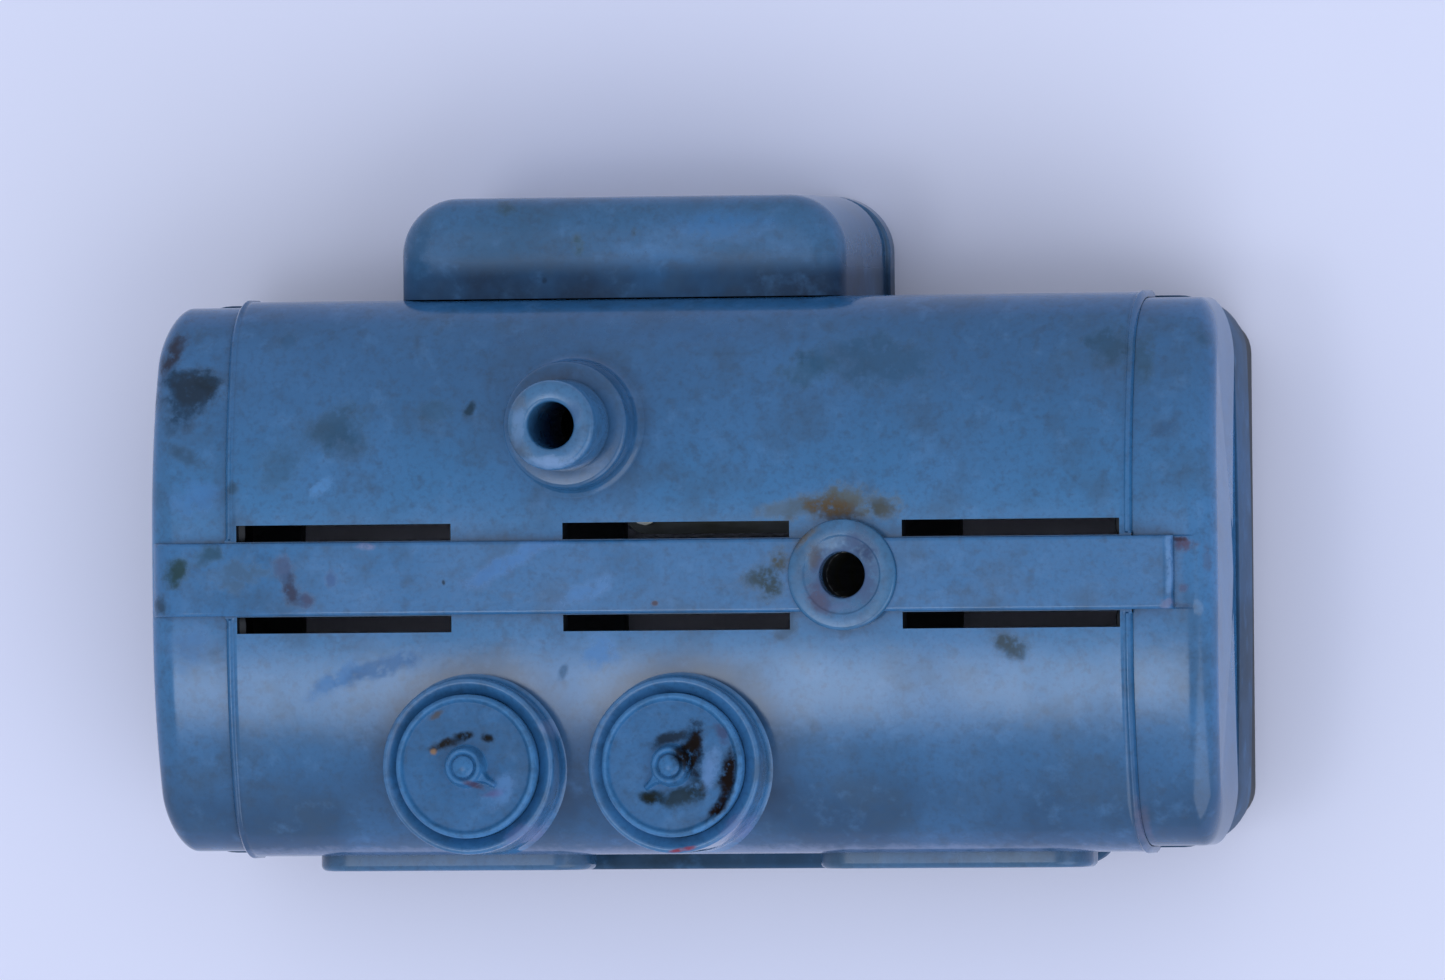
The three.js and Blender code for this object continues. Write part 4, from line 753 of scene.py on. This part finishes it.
eye_points = turned(eye_profile, (EYE_X, 0.0))
strap_marks = (
    (-46.6, 0.6, 1.5, 1.1, 20, "#253c38", 0.9),
    (-43.4, 2.2, 1.6, 0.8, 20, "#254450", 0.7),
    (-48.2, -2.4, 0.8, 1.2, 0, "#24343c", 0.7),
    (-40.5, 0.6, 3.2, 1.4, 10, "#44607a", 0.7),
    (-36.4, 1.0, 0.9, 1.2, 0, "#4c5470", 0.7),
    (-35.6, -1.2, 0.9, 1.5, 15, "#3c4258", 1.0),
    (-34.2, -1.9, 0.7, 0.9, 0, "#494f6a", 0.9),
    (-28.5, 3.0, 0.9, 0.35, 0, "#8480a4", 0.5),
    (-31.8, 0.0, 0.6, 0.8, 0, "#48608a", 0.7),
    (-21.4, -0.4, 0.2, 0.3, 0, "#1e2a34", 0.8),
    (-15.0, 1.5, 6.0, 0.9, 28, "#4c80bc", 0.5),
    (-8.5, -1.5, 3.0, 0.9, 24, "#5888c0", 0.45),
    (8.4, -0.6, 1.6, 1.8, 70, "#3a4648", 0.9),
    (9.8, 1.4, 1.0, 1.2, 0, "#4c4e46", 0.9),
    (-1.8, -2.4, 0.3, 0.25, 0, "#584440", 0.8),
    (12.4, 4.2, 1.6, 0.7, 50, "#5c5038", 0.7),
    (45.4, -2.9, 0.6, 0.5, 0, "#787894", 0.6),
    # A painted highlight along the strap's rounded right-hand end.
    (45.6, 0.4, 0.35, 3.0, 0, "#7ca4d2", 0.5),
)
eye_marks = (
    (15.6, 0.0, 3.4, 3.4, 0, "#4a5878", 0.8),
    (13.4, -2.2, 1.6, 1.0, -45, "#585468", 0.8),
    (13.0, 1.6, 1.2, 0.9, 45, "#5a5250", 0.7),
    (12.2, 3.6, 1.4, 0.7, 45, "#5a5040", 0.8),
    (17.6, 2.0, 0.9, 0.7, -40, "#3c4562", 0.7),
    (15.4, -3.0, 1.4, 0.5, 0, "#6c78a0", 0.3),
)
strap_bar = mould(
    "strap_bar", closed_run(strap_run(left_top, left_low)) + closed_run(strap_run(right_top, right_low)),
    aged_abs("blue_abs_strap", strap_marks, base="#2e6088", rubbed="#2d699a", grime_and_shade=0.3), crease=40,
)
eye_ring = mould(
    "fixing_eye", [sheet(np.concatenate((eye_points, eye_points[:1])), around=True)],
    aged_abs("blue_abs_worn_eye", eye_marks, base="#2e6088", rubbed="#316890"), crease=40,
)
for piece in (strap_bar, eye_ring):
    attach(piece, "casing")
    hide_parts("strap")

# ------------------------------------------------------------------ guide bush
# A turned-looking moulded bush pressed into its boss guides the drive spindle. Its top face is
# rubbed pale, with dirt caught round the mouth of the bore and a painted highlight along its lower and left
# edges.
BUSH_RADIUS, BUSH_TOP, BUSH_BORE = 4.05, 35.5, 2.12
bush_marks = (
    (-12.6, 11.6, 0.9, 1.6, 35, "#4c5c70", 0.8),
    (-12.4, 15.8, 0.9, 0.7, 45, "#5c5654", 0.4),
    # Painted highlights along the bush top's lower and left edges.
    (-9.6, 10.4, 2.6, 0.6, 0, "#7f9cc4", 0.8),
    (-12.4, 13.6, 0.6, 2.0, 0, "#6c8cb4", 0.6),
    (-7.4, 14.8, 0.8, 1.2, 0, "#3c5c84", 0.6),
)
bush_profile = eased([
    (BUSH_BORE, BOSS_TOP - 7.5, 0.1), (
        HUB_BORE - 0.05, BOSS_TOP - 7.5, 0.1,
    ), (HUB_BORE - 0.05, BOSS_TOP + 0.01, 0),
    (BUSH_RADIUS + 0.1, BOSS_TOP + 0.01, 0.05), (BUSH_RADIUS, BUSH_TOP, 0.55), (BUSH_BORE, BUSH_TOP, 0.4),
], closed=True)
bush_points = turned(bush_profile, (HUB_X, HUB_Y))
bush = mould(
    "spindle_bush", [sheet(np.concatenate((bush_points, bush_points[:1])), around=True)],
    aged_abs("blue_abs_rubbed_bush", bush_marks, base="#3b6c94", rubbed="#3b6c94"), crease=40,
)
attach(bush, "casing")
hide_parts("guide_bush")

# ------------------------------------------------------------------ dials
# Two adjusting dials moulded in the casing's blue: a thin round bead, a shallow dish and a hub that
# runs out into a pointer. Dirt has gathered round the hubs. A domed screw holds each to its shaft.
DIAL_RADIUS, DIAL_TOP, DIAL_BOTTOM, DISH = 6.5, 30.4, 28.7, 0.36
HUB_RADIUS, HUB_TOP, SCREW_SEAT = 1.85, 31.5, 31.25
DIAL_ANGLE = (-32.5, -139.8)


def softer_max(a, b, blend):
    """The larger of two heights, with the corner between them filled over the width blend."""
    near = np.clip(blend - np.abs(a - b), 0, None) / blend
    return np.maximum(a, b) + near**2 * blend / 4


def smooth_step(low, high, value):
    """0 up to low, 1 from high on, and between them 3 s squared less 2 s cubed of the share s."""
    share = np.clip((value - low) / (high - low), 0, 1)
    return share * share * (3 - 2 * share)


def dial_top(radius, angle):
    """Height of a dial's top: a flat disc sunk by the dish inside a round bead, joined to a hub and to
    a pointer whose half width falls to 0.27 mm as a cube; the hub holds the screw's seat."""
    along, beside = radius * np.cos(angle), np.abs(radius * np.sin(angle))
    disc = DIAL_TOP - DISH
    bead = DIAL_TOP - 0.3 * ((radius - 6.2) / 0.3) ** 2
    hub = HUB_TOP - 0.02 - 3 * smooth_step(HUB_RADIUS - 0.35, HUB_RADIUS + 0.5, radius)
    share = np.clip((along - 1.1) / 2.0, 0, 1)
    width = 0.27 + 1.0 * (1 - share) ** 3
    off = beside - width * np.sqrt(np.clip(1 - np.clip((along - 3.0) / 0.35, 0, 1) ** 2, 0, 1))
    off = np.where(along < 0, 9, np.maximum(off, along - 3.3))
    pointer = HUB_TOP - 0.35 - 0.6 * share - 2.6 * smooth_step(-0.2, 0.4, off)
    top = softer_max(softer_max(softer_max(disc, bead, 0.25), hub, 0.3), pointer, 0.25)
    return top + (SCREW_SEAT - 0.1 - top) * smooth_step(1.34, 1.06, radius)


dial_marks = {
    "left": (
        (-20.6, -14.9, 1.9, 0.45, 15, "#211f1e", 1.0),
        (-19.0, -14.2, 0.9, 0.45, 0, "#1a1b1c", 1.0),
        (-16.9, -14.4, 0.55, 0.45, 0, "#18191b", 1.0),
        (-21.9, -15.6, 0.35, 0.35, 0, "#94765c", 0.9),
        (-18.2, -18.6, 1.0, 0.35, -25, "#544050", 0.8),
        (-16.4, -19.4, 1.1, 0.4, 10, "#5e4c74", 0.7),
        (-21.6, -12.3, 1.0, 0.3, 30, "#5a5450", 0.8),
        # A painted highlight on the dish, right of and below the hub.
        (-15.4, -19.0, 2.2, 1.3, 40, "#6490c4", 0.5),
    ),
    "right": (
        (1.9, -16.0, 1.3, 2.5, -20, "#151110", 1.0),
        (2.6, -14.6, 0.8, 1.7, 0, "#18110f", 1.0),
        (0.2, -14.6, 2.0, 0.6, 20, "#1f2226", 0.85),
        (0.4, -19.9, 2.4, 0.9, 0, "#232c2a", 0.85),
        (-1.7, -20.0, 0.9, 0.7, 20, "#1c1f18", 0.95),
        (2.3, -19.0, 1.1, 1.0, 0, "#25261c", 0.9),
        (5.3, -18.2, 0.75, 3.1, -14, "#140a08", 1.0),
        (4.4, -21.0, 0.6, 1.8, -38, "#170c0a", 1.0),
        (4.9, -14.3, 0.5, 1.2, 15, "#44425e", 0.6),
        # A painted highlight on the dish, right of and below the hub.
        (3.7, -17.6, 0.9, 1.8, -10, "#7094c4", 0.6),
    ),
}
spokes = np.linspace(0, 2 * np.pi, 193)[:-1]
reach = np.concatenate((
    np.linspace(0, 1.0, 6)[:-1], np.arange(1.0, 3.6, 0.07), np.linspace(3.65, 5.7, 14),
    np.linspace(5.75, 6.49, 16), (DIAL_RADIUS,),
))
rim_edge = eased(
    [
        (DIAL_RADIUS, DIAL_TOP - 0.3, 0), (DIAL_RADIUS, DIAL_BOTTOM, 0.15), (1.0, DIAL_BOTTOM, 0),
        (0.0, DIAL_BOTTOM, 0),
    ]
)[1:]
dome = np.linspace(0, np.pi / 2, 9)
for side, x, angle in zip(("left", "right"), DIAL_X, DIAL_ANGLE):
    blue = aged_abs(
        f"blue_abs_dial_{side}", dial_marks[
            side
        ], base="#2b618f", rubbed="#2b618f", shoulder="#2b618f", satin=0.2, grime_and_shade=0.0, polish=0.3, gloss=0.2,
        # Painted highlights: paler rings on the bead and on the hub, in place of their gloss, also standing
        # for rubbing.
        rings=((x, DIAL_Y, 5.75, 6.2, "#4d86b8", 0.75), (x, DIAL_Y, 2.15, 1.75, "#437aab", 0.6)),
    )
    top = dial_top(reach[:, None], spokes - math.radians(angle))
    edge_shape = (len(rim_edge), len(spokes))
    edge_radii, edge_heights = np.broadcast_to(
        rim_edge[:, :1], edge_shape,
    ), np.broadcast_to(rim_edge[:, 1:], edge_shape)
    radii = np.concatenate((np.broadcast_to(reach[:, None], top.shape), edge_radii))
    heights = np.concatenate((top, edge_heights))
    points = np.stack((x + radii * np.cos(spokes), DIAL_Y + radii * np.sin(spokes), heights), axis=-1)
    knob = mould(f"dial_knob_{side}", [sheet(points, around=True)], blue, crease=60)
    head = np.array([(0, SCREW_SEAT - 0.35), (1.0, SCREW_SEAT - 0.35)])
    head = np.concatenate(
        (head, np.column_stack((1.0 * np.cos(dome), SCREW_SEAT + 0.02 + 0.3 * np.sin(dome))))
    )
    cap_head = mould(
        f"dial_screw_head_{side}", [sheet(turned(head, (x, DIAL_Y), 48), around=True)], blue, crease=60,
    )
    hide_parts(f"dial_{side}")
    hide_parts(f"dial_screw_{side}")
    for piece in (knob, cap_head):
        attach(piece, f"{side}_dial")

# ------------------------------------------------------------------ rim frame
# A plain moulded frame in a duller, greener blue joins the face mouldings to the tray; its darkness is
# partly painted shade, as it sits low under the face. A low flange along its lower side is what a
# screwdriver lifts it by.
RIM_BOTTOM, RIM_HALF_WIDTH, RIM_WALL = 8.0, 24.9, 1.8
FLANGE_HALF, FLANGE_OUT, FLANGE_TOP, FLANGE_CORNER = 36.3, 1.8, 10.0, 5.0


def round_box(half_x, half_y, radius):
    """A rounded rectangle in plan, counter-clockwise: sides in even steps, corners as quarter circles."""
    turn = np.linspace(0, np.pi / 2, 13)
    long_, short = np.linspace(-1, 1, 61)[1:-1], np.linspace(-1, 1, 31)[1:-1]
    x, y = half_x - radius, half_y - radius
    across, out = radius * np.cos(turn), radius * np.sin(turn)
    runs = [
        np.column_stack((np.full(len(short), half_x), y * short)), np.column_stack((x + across, y + out)),
        np.column_stack((-x * long_, np.full(len(long_), half_y))), np.column_stack((-x - out, y + across)),
        np.column_stack((np.full(len(short), -half_x), -y * short)), np.column_stack((-x - across, -y - out)),
        np.column_stack((x * long_, np.full(len(long_), -half_y))), np.column_stack((x + out, -y - across)),
    ]
    return np.concatenate(runs)


def ringed(profile, outline):
    """A closed profile of (inset, z) points carried round an outline that is a function of the inset."""
    rings = [np.column_stack((outline(inset), np.full(len(outline(inset)), z))) for inset, z in profile]
    return np.stack([*rings, rings[0]])


frame_profile = eased(
    [(0.3, RIM_BOTTOM, 0.3), (0, SEAM, 0.12), (RIM_WALL, SEAM, 0.15), (RIM_WALL, RIM_BOTTOM, 0.15)],
    closed=True,
)
frame_rings = ringed(
    frame_profile, lambda inset: round_box(END_X - inset, RIM_HALF_WIDTH - inset, END_PLAN - inset),
)
past_shell = np.clip((np.abs(frame_rings[..., 0]) - SHELL_HALF) / (END_X - SHELL_HALF), 0, 1)
frame_rings[..., 0] -= np.sign(frame_rings[..., 0]) * END_BOW * (frame_rings[..., 1] / 18) ** 2 * past_shell


def flange_line(inset):
    """The flange's outer line, drawn in by inset: a quarter curve at each end and a straight between."""
    share = np.linspace(0, 1, 15)[:, None]
    outer, inner = -RIM_HALF_WIDTH - FLANGE_OUT + inset, -RIM_HALF_WIDTH + 1.0
    start, knee, end = np.array(
        [(inset - FLANGE_HALF, inner), (inset - FLANGE_HALF, outer), (FLANGE_CORNER - FLANGE_HALF, outer)]
    )
    left = (1 - share) ** 2 * start + 2 * share * (1 - share) * knee + share**2 * end
    straight = np.linspace(left[-1, 0], -left[-1, 0], 61)[1:-1]
    middle = np.column_stack((straight, np.full(len(straight), outer)))
    return np.concatenate((left, middle, left[::-1] * (-1, 1)))


flange_profile = eased(
    [(1.6, RIM_BOTTOM, 0), (0, RIM_BOTTOM, 0.3), (0, FLANGE_TOP, 0.5), (1.6, FLANGE_TOP, 0)]
)
flange = ringed(flange_profile, flange_line)
frame_abs = aged_abs(
    "greenish_abs_frame", (), base="#18344a", rubbed="#18344a", shoulder="#18344a", dull=0.3, polish=0.2,
    grime_and_shade=0.4, corner=1.0, gloss=0.2,
)
rim = mould("rim_moulding", [sheet(frame_rings, around=True), sheet(flange)], frame_abs, crease=50)
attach(rim, "casing")
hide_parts("rim_frame")

# ------------------------------------------------------------------ latch plates
# Two long pads with round corners stand on the lower side wall over the latches inside.
LATCH_HALF, LATCH_X, LATCH_THICK = 12.6, 23.3, 1.4
LATCH_Z0, LATCH_Z1, LATCH_CORNER = 11.6, 19.0, 3.0
pad_profile = eased([(0.0, -0.2, 0), (0.0, LATCH_THICK, 0.55), (3.6, LATCH_THICK, 0)], steps=8)
latch_abs = aged_abs("blue_abs_latch_plates", base="#355a78", shoulder="#355a78", dull=0.08)
for side, x in (("left", -LATCH_X), ("right", LATCH_X)):
    middle_z = (LATCH_Z0 + LATCH_Z1) / 2
    half_z = (LATCH_Z1 - LATCH_Z0) / 2
    rings = []
    for inset, out in pad_profile:
        ring = round_box(LATCH_HALF - inset, half_z - inset, max(LATCH_CORNER - inset, 0.05))
        rings.append(
            np.column_stack((x + ring[:, 0], np.full(len(ring), -HALF_WIDTH - out), middle_z + ring[:, 1]))
        )
    backing = rings[0] * (1, 1, 0) + (0, 0, middle_z)
    crest = rings[-1] * (1, 1, 0) + (0, 0, middle_z)
    pad = mould(
        f"latch_pad_{side}", [sheet(np.stack((backing, *rings, crest)), around=True)], latch_abs, crease=45,
    )
    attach(pad, "casing")
    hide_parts(f"latch_plate_{side}")

# ------------------------------------------------------------------ terminal hood
# A separate blue cover over the terminal block, clipped to the upper side wall: a box with round
# outer corners and a soft upper edge, a lip round its foot, and a darker band along its joint with the
# casing, which is painted shadow from the casing's wall together with dirt.
HOOD_X0, HOOD_X1, HOOD_INNER, HOOD_OUTER = -27.4, 13.9, 25.22, 34.4
HOOD_TOP, HOOD_CORNER, HOOD_EDGE, HOOD_LIP, HOOD_LIP_TOP = 20.0, 5.2, 2.6, 0.45, 1.9


def hood_line(inset):
    """The hood's plan, open towards the casing: two sides, two quarter-circle corners and the front.
    The lip, where inset is below 0, stands out at the sides and dies away round the corners."""
    x0, x1, front = HOOD_X0 + inset, HOOD_X1 - inset, HOOD_OUTER - max(inset, 0)
    wide, deep = HOOD_CORNER - inset, HOOD_CORNER - max(inset, 0)
    turn = np.linspace(0, np.pi / 2, 15)
    side = np.linspace(HOOD_INNER, front - deep, 8)[:-1]
    along = np.linspace(x1 - wide, x0 + wide, 41)[1:-1]
    round_x, round_y = np.cos(turn), np.sin(turn)
    return np.concatenate((
        np.column_stack((np.full(len(side), x1), side)),
        np.column_stack((x1 - wide + wide * round_x, front - deep + deep * round_y)),
        np.column_stack((along, np.full(len(along), front))),
        np.column_stack((x0 + wide - wide * round_y, front - deep + deep * round_x)),
        np.column_stack((np.full(len(side), x0), side[::-1])),
    ))


hood_profile = eased(
    [
        (-HOOD_LIP, 0.0, 0), (-HOOD_LIP, 0.3, 0), (-HOOD_LIP, HOOD_LIP_TOP, 0.3), (0, HOOD_LIP_TOP, 0.15),
        (0, HOOD_TOP, HOOD_EDGE), (3.2, HOOD_TOP, 0),
    ],
    steps=10,
)
hood_rings = ringed(hood_profile, hood_line)[:-1]
lid = np.repeat(hood_rings[-1:, 7:-7], 8, axis=0)
lid[..., 1] = HOOD_INNER + (lid[..., 1] - HOOD_INNER) * np.linspace(1, 0, 8)[:, None]
hood_marks = (
    (-17.4, 33.4, 0.9, 0.8, 0, "#2a3c36", 0.5),
    (-5.2, 31.2, 0.3, 0.4, 0, "#1e3238", 0.5),
    (-10.5, 30.0, 0.5, 1.1, 10, "#28443e", 0.5),
    (-13.6, 26.9, 0.3, 0.3, 0, "#121c28", 0.5),
    # Painted shade on the hood's left rounded edge.
    (-25.6, 30.0, 1.4, 3.6, 0, "#285072", 0.6),
    (-3.0, 29.2, 4.0, 0.7, -8, "#4c88c0", 0.2),
    (3.0, 31.6, 5.0, 1.4, 0, "#3a74ac", 0.4),
)
hood_abs = aged_abs(
    "blue_abs_hood", hood_marks, base="#295a80", rubbed="#295a80", shoulder="#142a42",
    shade_fade=(29.8, 26.8), film=0.3, grime_and_shade=0.35, corner=3,
)
hood = mould("hood_cover", [sheet(hood_rings), sheet(lid)], hood_abs, inside=(-7, 26, 6), crease=42)
thicken(hood, WALL, 0.1)
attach(hood, "casing")
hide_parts("terminal_hood")

# ------------------------------------------------------------------ chassis tray
# The tray that everything inside is screwed to: black ABS from a spark-eroded tool, so the eye sees
# a fine even grain with no gloss, and pale dust along the feet of its ribs and posts.
def plain_polymer(name, code, second, satin, grain, depth, dust=0.35, cloud_size=5.0):
    """A moulded polymer: two shades that swap over cloud_size mm, roughness varying with them by 0.08,
    a grain of the given size and depth in mm, and dust wherever 2 mm round a point is shut in."""
    finish, tree, shader, place = new_finish(name)
    cloud = add_node(tree, "ShaderNodeTexNoise", {"Vector": place, "Scale": 1000 / cloud_size, "Detail": 5})
    share = add_node(
        tree, "ShaderNodeMapRange", {"Value": cloud.outputs["Fac"], "From Min": 0.35, "From Max": 0.65},
    )
    shade = add_node(
        tree, "ShaderNodeMix", {"Factor": share.outputs[0], 6: tint(code), 7: tint(second)},
        data_type="RGBA",
    )
    shut_in = add_node(tree, "ShaderNodeAmbientOcclusion", {"Distance": 0.002}, samples=8)
    caught = add_node(
        tree, "ShaderNodeMapRange",
        {"Value": shut_in.outputs["AO"], "From Min": 0.75, "From Max": 0.2, "To Max": dust},
    )
    shade = add_node(
        tree, "ShaderNodeMix", {"Factor": caught.outputs[0], 6: shade.outputs[2], 7: tint("#5d5b57")},
        data_type="RGBA",
    )
    rough = add_node(
        tree, "ShaderNodeMapRange",
        {"Value": share.outputs[0], "To Min": satin - 0.04, "To Max": satin + 0.04},
    )
    fine = add_node(tree, "ShaderNodeTexNoise", {"Vector": place, "Scale": 1000 / grain, "Detail": 2})
    fine = add_node(
        tree, "ShaderNodeBump", {"Height": fine.outputs["Fac"], "Strength": 0.6, "Distance": depth * MM},
    )
    tree.links.new(shade.outputs[2], shader.inputs["Base Color"])
    tree.links.new(rough.outputs[0], shader.inputs["Roughness"])
    tree.links.new(fine.outputs[0], shader.inputs["Normal"])
    shader.inputs["IOR"].default_value = 1.54
    return finish


def dress(finish, *names):
    """Gives carried-over CAD nodes their finish."""
    for name in names:
        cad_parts[name].material_slots[0].material = finish


dress(
    plain_polymer("black_abs_spark_grained", "#2a2f36", "#30353c", 0.58, 0.28, 0.02, dust=0.5),
    "chassis_tray",
)

# ------------------------------------------------------------------ plated steel parts
# Pressed and turned steel, bright zinc plated: a soft grey shine, faintly straw coloured where the
# passivation is thicker, drawn along by fine scratches and dull in every recess.
WAVE = 314.16  # this over a pitch in mm is the scale of a wave pattern with that pitch


def bare_metal(name, code, second, satin, bands=None, pitch=0.3, depth=0.004, film=0.0):
    """A metal: two shades that swap over 4 mm, roughness varying with them, hairline scratches from a
    noise stretched thirty times along X, ridges across the bands axis every pitch mm, tarnish in
    recesses, and a clear film of that weight."""
    finish, tree, shader, place = new_finish(name)
    cloud = add_node(tree, "ShaderNodeTexNoise", {"Vector": place, "Scale": 250, "Detail": 5})
    share = add_node(
        tree, "ShaderNodeMapRange", {"Value": cloud.outputs["Fac"], "From Min": 0.4, "From Max": 0.68},
    )
    shade = add_node(
        tree, "ShaderNodeMix", {"Factor": share.outputs[0], 6: tint(code), 7: tint(second)},
        data_type="RGBA",
    )
    shut_in = add_node(tree, "ShaderNodeAmbientOcclusion", {"Distance": 0.0012}, samples=8)
    caught = add_node(
        tree, "ShaderNodeMapRange",
        {"Value": shut_in.outputs["AO"], "From Min": 0.8, "From Max": 0.2, "To Max": 0.6},
    )
    shade = add_node(
        tree, "ShaderNodeMix", {"Factor": caught.outputs[0], 6: shade.outputs[2], 7: tint("#3a3631")},
        data_type="RGBA",
    )
    drawn = add_node(tree, "ShaderNodeMapping", {"Vector": place, "Scale": (300, 9000, 9000)})
    hair = add_node(tree, "ShaderNodeTexNoise", {"Vector": drawn.outputs[0], "Scale": 1, "Detail": 3})
    rough = add_node(
        tree, "ShaderNodeMapRange",
        {
            "Value": hair.outputs["Fac"], "From Min": 0.3, "From Max": 0.7, "To Min": satin - 0.06,
            "To Max": satin + 0.08,
        },
    )
    bump = add_node(
        tree, "ShaderNodeBump", {"Height": hair.outputs["Fac"], "Strength": 0.3, "Distance": 0.000004},
    )
    if bands:
        ridge = add_node(
            tree, "ShaderNodeTexWave",
            {"Vector": place, "Scale": WAVE / pitch, "Distortion": 0.3, "Detail": 1}, bands_direction=bands,
        )
        bump = add_node(
            tree, "ShaderNodeBump",
            {
                "Height": ridge.outputs["Fac"], "Strength": 0.8, "Distance": depth * MM,
                "Normal": bump.outputs[0],
            },
        )
        line = add_node(
            tree, "ShaderNodeMapRange",
            {"Value": ridge.outputs["Fac"], "From Min": 0.25, "To Max": 0.0, "To Min": 0.55},
        )
        shade = add_node(
            tree, "ShaderNodeMix", {"Factor": line.outputs[0], 6: shade.outputs[2], 7: tint("#2b241d")},
            data_type="RGBA",
        )
    tree.links.new(shade.outputs[2], shader.inputs["Base Color"])
    tree.links.new(rough.outputs[0], shader.inputs["Roughness"])
    tree.links.new(bump.outputs[0], shader.inputs["Normal"])
    shader.inputs["Metallic"].default_value = 1.0
    shader.inputs["Coat Weight"].default_value = film
    shader.inputs["Coat Roughness"].default_value = 0.12
    return finish


zinc = bare_metal("zinc_plated_steel", "#a9adb0", "#aaa68f", 0.36)
dress(
    zinc, "fixing_sleeve", "dial_shaft_left", "dial_shaft_right", "motor_can", "first_arbor",
    "second_arbor",
)
dress(bare_metal("zinc_plated_steel_greasy", "#55585a", "#454640", 0.48), "gear_bridge")
dress(zinc, *(f"case_screw_{row}_{side}" for row in ("top", "bottom") for side in ("left", "right")))
dress(zinc, *(f"bridge_screw_{k}" for k in (1, 2, 3)), *(f"board_screw_{k}" for k in (1, 2, 3, 4)))
dress(zinc, *(f"terminal_screw_{k}" for k in (1, 2, 3, 4, 5)))

# ------------------------------------------------------------------ gear train
# Gears moulded in black nylon and packed with grease, which lies in wet, honey-dark smears between
# the teeth; the rotor and its pinion are turned brass, with rings left by the tool.
greased = plain_polymer("black_nylon_greased", "#26282c", "#35301f", 0.3, 1.1, 0.03, dust=0.1, cloud_size=2.2)
greased.node_tree.nodes["Principled BSDF"].inputs["Coat Weight"].default_value = 0.5
greased.node_tree.nodes["Principled BSDF"].inputs["Coat Roughness"].default_value = 0.15
dress(greased, "output_hub", "second_gear", "first_gear")
dress(bare_metal("brass_turned", "#b6924a", "#a07a3a", 0.26, bands="Z", pitch=0.25), "motor_rotor")

# ------------------------------------------------------------------ circuit boards
# Glass-fibre laminate under glossy green solder mask: the copper tracks show as paler green lines
# 0.4 mm wide on a 2.5 mm grid, with the cloth's 0.5 mm weave just showing between them.
laminate, tree, shader, place = new_finish("glass_fibre_laminate_solder_masked")
threads = [
    add_node(
        tree, "ShaderNodeTexWave", {"Vector": place, "Scale": WAVE / 0.5}, bands_direction=way,
    ).outputs["Fac"] for way in ("X", "Y")
]
woven = add_node(tree, "ShaderNodeMath", {0: threads[0], 1: threads[1]}, operation="MULTIPLY")
faint = add_node(tree, "ShaderNodeMath", {0: woven.outputs[0], 1: 0.35}, operation="MULTIPLY")
mask = add_node(
    tree, "ShaderNodeMix", {"Factor": faint.outputs[0], 6: tint("#2c5a3a"), 7: tint("#3c6a46")},
    data_type="RGBA",
)
tracks = add_node(
    tree, "ShaderNodeTexBrick",
    {
        "Vector": place, "Color1": (
            0, 0, 0, 1,
        ), "Color2": (0, 0, 0, 1), "Mortar": (1, 1, 1, 1), "Scale": 1000, "Mortar Size": 0.2,
        "Mortar Smooth": 0.2, "Brick Width": 7.5, "Row Height": 2.5,
    },
)
mask = add_node(
    tree, "ShaderNodeMix", {"Factor": tracks.outputs["Color"], 6: mask.outputs[2], 7: tint("#4e8a56")},
    data_type="RGBA",
)
raise_ = add_node(
    tree, "ShaderNodeBump", {"Height": tracks.outputs["Color"], "Strength": 0.7, "Distance": 0.000035},
)
tree.links.new(mask.outputs[2], shader.inputs["Base Color"])
tree.links.new(raise_.outputs[0], shader.inputs["Normal"])
shader.inputs["Roughness"].default_value = 0.24
shader.inputs["IOR"].default_value = 1.55
dress(laminate, "control_board", "radio_module")

# ------------------------------------------------------------------ parts on the board and chassis
# Glass-filled polyester cases, matt black or blue, with flow clouds a few millimetres wide; cans in
# heat-shrunk PVC sleeve, wrinkled every millimetre or so; green polyamide terminals, half matt.
dress(
    plain_polymer("black_polyester_moulded", "#1c1d20", "#232427", 0.45, 0.3, 0.01), "potentiometer_left",
    "potentiometer_right", "motor_cap", "control_chip",
)
dress(plain_polymer("blue_polyester_moulded", "#2a5f9a", "#2f66a0", 0.32, 0.5, 0.006), "relay")
dress(
    plain_polymer("pvc_shrink_sleeve", "#27313f", "#2c3747", 0.22, 1.3, 0.06, dust=0.2),
    "smoothing_capacitor", "timing_capacitor", "motor_capacitor",
)
dress(plain_polymer("green_polyamide_moulded", "#3b7d4f", "#418556", 0.4, 0.4, 0.01), "terminal_block")

# ------------------------------------------------------------------ transformer
# Silicon steel laminations 0.5 mm thick, stacked in Y and dipped in amber varnish, round a bobbin of
# enamelled copper wire wound 0.4 mm from turn to turn.
dress(
    bare_metal(
        "steel_laminations_varnished", "#54565a", "#5c5346", 0.42, bands="Y", pitch=0.5, depth=0.05,
        film=0.5,
    ),
    "transformer_core",
)
dress(
    bare_metal(
        "copper_wire_enamelled", "#9a5a32", "#8a4c28", 0.28, bands="Z", pitch=0.4, depth=0.12, film=0.7,
    ),
    "transformer_winding",
)
